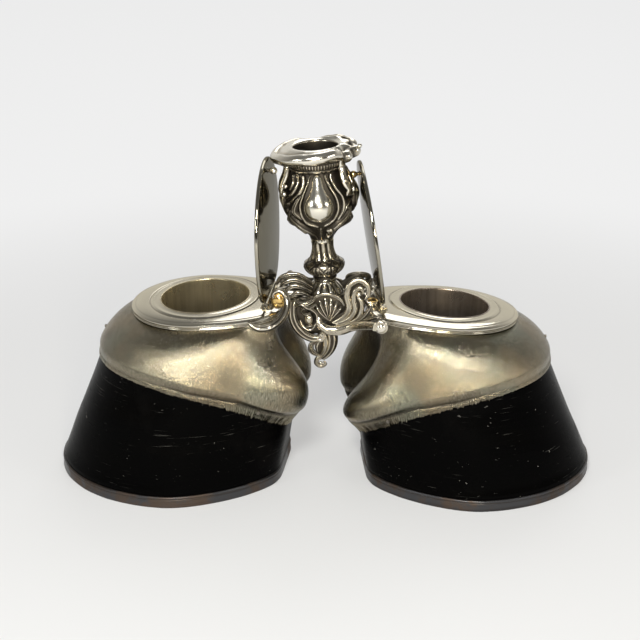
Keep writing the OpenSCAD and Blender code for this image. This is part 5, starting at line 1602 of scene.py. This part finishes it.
class INKSTAND_OT_bridge(bpy.types.Operator):
    """Build the bridge and its screws"""
    bl_idname = "inkstand.bridge"
    bl_label = "Bridge"

    def execute(self, context):
        s = the_stand()
        place("bridge_bar", bridge_bar(s), finish("cast"), "stand", ["bridge"], 40)
        place("bridge_screw_heads", bridge_screws(s), finish("brass"), "stand",
              ["bridge_screws"], 40)
        repaint(finish("dark"), "dark_metal", "tie_rod", "tie_nut")
        return {"FINISHED"}


class INKSTAND_OT_aprons(bpy.types.Operator):
    """Build the cast scroll aprons"""
    bl_idname = "inkstand.aprons"
    bl_label = "Aprons"

    def execute(self, context):
        s = the_stand()
        for name, face in (("front", -1.0), ("back", 1.0)):
            place(name + "_scrollwork", apron(s, face), finish("cast"), "stand",
                  ["apron_" + name], 60)
        return {"FINISHED"}


class INKSTAND_OT_candlestick(bpy.types.Operator):
    """Build the bell, knop, cup, lip and socket of the candlestick"""
    bl_idname = "inkstand.candlestick"
    bl_label = "Candlestick"

    def execute(self, context):
        s = the_stand()
        for name, make, node, metal, slot in (
                ("fluted_bell", fluted_bell, "bell", "cast", "cast_silver"),
                ("lobed_knop", lobed_knop, "knop", "cast", "cast_silver"),
                ("chased_cup", chased_cup, "nozzle", "cast", "cast_silver"),
                ("rolled_lip", rolled_lip, "nozzle_lip", "cast", "cast_silver"),
                ("socket_tube", candle_tube, "candle_socket", "dark", "dark_metal")):
            place(name, make(s), finish(metal), "stand", [node], 60)
        return {"FINISHED"}


class INKSTAND_OT_stage(bpy.types.Operator):
    """Build the floor, the soft lights, the surroundings and the camera"""
    bl_idname = "inkstand.stage"
    bl_label = "Stage"

    def execute(self, context):
        floor_and_surroundings()
        lights()
        camera()
        return {"FINISHED"}


class Surroundings(Finish):
    """The world's node tree, made with the same methods as a finish."""

    def __init__(self, world):
        world.use_nodes = True
        self.tree = world.node_tree
        self.tree.nodes.clear()


def floor_and_surroundings():
    """Pale floor that glows for the camera, least under the stand, so that it keeps a soft
    shadow, and a world that shows the metals a dark room in front and a pale wall behind."""
    mesh = bpy.data.meshes.new("floor")
    mesh.from_pydata([(-6, -6, 0), (6, -6, 0), (6, 6, 0), (-6, 6, 0)], [], [(0, 1, 2, 3)])
    floor = bpy.data.objects.new("floor", mesh)
    bpy.context.scene.collection.objects.link(floor)
    f = Finish("pale floor")
    path = "ShaderNodeLightPath"
    seen = (f.node(path, output=0) + 0.25 * f.node(path, output=3)).clip()
    at = f.place()
    x, y = (f.node("ShaderNodeSeparateXYZ", None, {"Vector": at}, output=k) for k in range(2))
    share = 0.35 + 0.5 * (x * x + y * y).above(0.0, 0.3)
    diffuse = f.node("ShaderNodeBsdfDiffuse", None, {"Color": (0.68, 0.68, 0.68, 1)})
    glow = f.node("ShaderNodeEmission", None, {"Color": (0.92, 0.92, 0.92, 1), "Strength": 1.0})
    mixed = f.node("ShaderNodeMixShader", None, {0: seen * share, 1: diffuse, 2: glow})
    f.node("ShaderNodeOutputMaterial", None, {"Surface": mixed})
    mesh.materials.append(f.material)
    world = bpy.data.worlds.new("studio")
    bpy.context.scene.world = world
    w = Surroundings(world)
    toward = w.node("ShaderNodeTexCoord", output="Generated")
    x, y, z = (w.node("ShaderNodeSeparateXYZ", None, {"Vector": toward}, output=k)
               for k in range(3))
    wall = w.mix((y * 0.5 + 0.5).above(0.25, 0.95), (0.05, 0.047, 0.042), (0.70, 0.69, 0.66))
    lit = w.mix(z.above(0.3, 0.8) * 0.85, wall, (0.16, 0.16, 0.155))
    lit = w.mix((x * x).above(0.3, 0.9) * 0.5, lit, (0.30, 0.29, 0.27))
    seen, glossy = w.node(path, output=0), w.node(path, output=3)
    soft = w.node("ShaderNodeBackground", None, {"Color": (1, 1, 1, 1), "Strength": 0.42})
    shiny = w.node("ShaderNodeBackground", None, {"Color": lit, "Strength": 1.0})
    bright = w.node("ShaderNodeBackground", None, {"Color": (0.88, 0.88, 0.88, 1), "Strength": 1.0})
    mixed = w.node("ShaderNodeMixShader", None, {0: glossy, 1: soft, 2: shiny})
    mixed = w.node("ShaderNodeMixShader", None, {0: seen, 1: mixed, 2: bright})
    w.node("ShaderNodeOutputWorld", None, {"Surface": mixed})


def lights():
    """Soft panels: the key high in front, a small warm one low in front, one at each side
    and a weak one behind."""
    for name, spot, size, power, tone in (
            ("panel_key", (-0.10, -0.92, 0.78), 0.24, 9.5, (1.0, 1.0, 0.97)),
            ("panel_low", (0.14, -1.15, 0.40), 0.16, 5.0, (1.0, 0.92, 0.74)),
            ("panel_left", (-0.85, -0.78, 0.44), 0.24, 1.9, (0.97, 1.0, 0.98)),
            ("panel_right", (0.95, -0.7, 0.46), 0.3, 1.5, (1.0, 0.98, 0.94)),
            ("panel_back", (0.1, 0.8, 0.9), 0.6, 2.5, (1.0, 1.0, 1.0))):
        lamp = bpy.data.lights.new(name, "AREA")
        lamp.shape, lamp.size, lamp.energy, lamp.color = "SQUARE", size, power, tone
        obj = bpy.data.objects.new(name, lamp)
        obj.location = spot
        obj.rotation_euler = look(np.array([0, 0, 0.08]) - spot)
        bpy.context.scene.collection.objects.link(obj)


def look(aim):
    """Euler angles that point a camera or lamp along a direction."""
    return Vector(aim).to_track_quat("-Z", "Y").to_euler()


def camera():
    """Long lens from the front, a little above and to the right."""
    target, reach = np.array([0, 0, 0.080]), 1.0
    up, right = math.radians(21.5), math.radians(1.5)
    way = np.array([math.sin(right) * math.cos(up), -math.cos(right) * math.cos(up), math.sin(up)])
    data = bpy.data.cameras.new("view")
    data.lens, data.sensor_width = 102.26, 36
    data.shift_x, data.shift_y = -5 / 640, 7.5 / 640
    obj = bpy.data.objects.new("view", data)
    obj.location = target + way * reach
    obj.rotation_euler = look(-way)
    bpy.context.scene.collection.objects.link(obj)
    bpy.context.scene.camera = obj
    bpy.context.scene.view_settings.view_transform = "Standard"


STEPS = (INKSTAND_OT_hooves, INKSTAND_OT_mounts, INKSTAND_OT_collars, INKSTAND_OT_lids,
         INKSTAND_OT_bridge, INKSTAND_OT_aprons, INKSTAND_OT_candlestick, INKSTAND_OT_stage)
SETTINGS = {"inkstand_layout": LayoutSizes, "inkstand_hoof": HoofSizes,
            "inkstand_well": WellSizes, "inkstand_candlestick": CandlestickSizes,
            "inkstand_colours": FinishColours}


class INKSTAND_PT_panel(bpy.types.Panel):
    """Lists the pieces of the inkstand and its settings"""
    bl_label = "Inkstand"
    bl_space_type = "VIEW_3D"
    bl_region_type = "UI"
    bl_category = "Inkstand"

    def draw(self, context):
        for step in STEPS:
            self.layout.operator(step.bl_idname)
        for key, group in SETTINGS.items():
            box = self.layout.box()
            for name in group.__annotations__:
                box.prop(getattr(context.scene, key), name)


def register():
    """Adds the settings, the operators and the panel."""
    for cls in (*SETTINGS.values(), *STEPS, INKSTAND_PT_panel):
        bpy.utils.register_class(cls)
    for key, group in SETTINGS.items():
        setattr(bpy.types.Scene, key, bpy.props.PointerProperty(type=group))


def unregister():
    """Takes them away again."""
    for key in SETTINGS:
        delattr(bpy.types.Scene, key)
    for cls in (INKSTAND_PT_panel, *STEPS, *SETTINGS.values()):
        bpy.utils.unregister_class(cls)


def main():
    """Registers the pieces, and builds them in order."""
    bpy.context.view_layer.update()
    register()
    for step in STEPS:
        group, name = step.bl_idname.split(".")
        getattr(getattr(bpy.ops, group), name)()


if __name__ == "__main__":
    main()
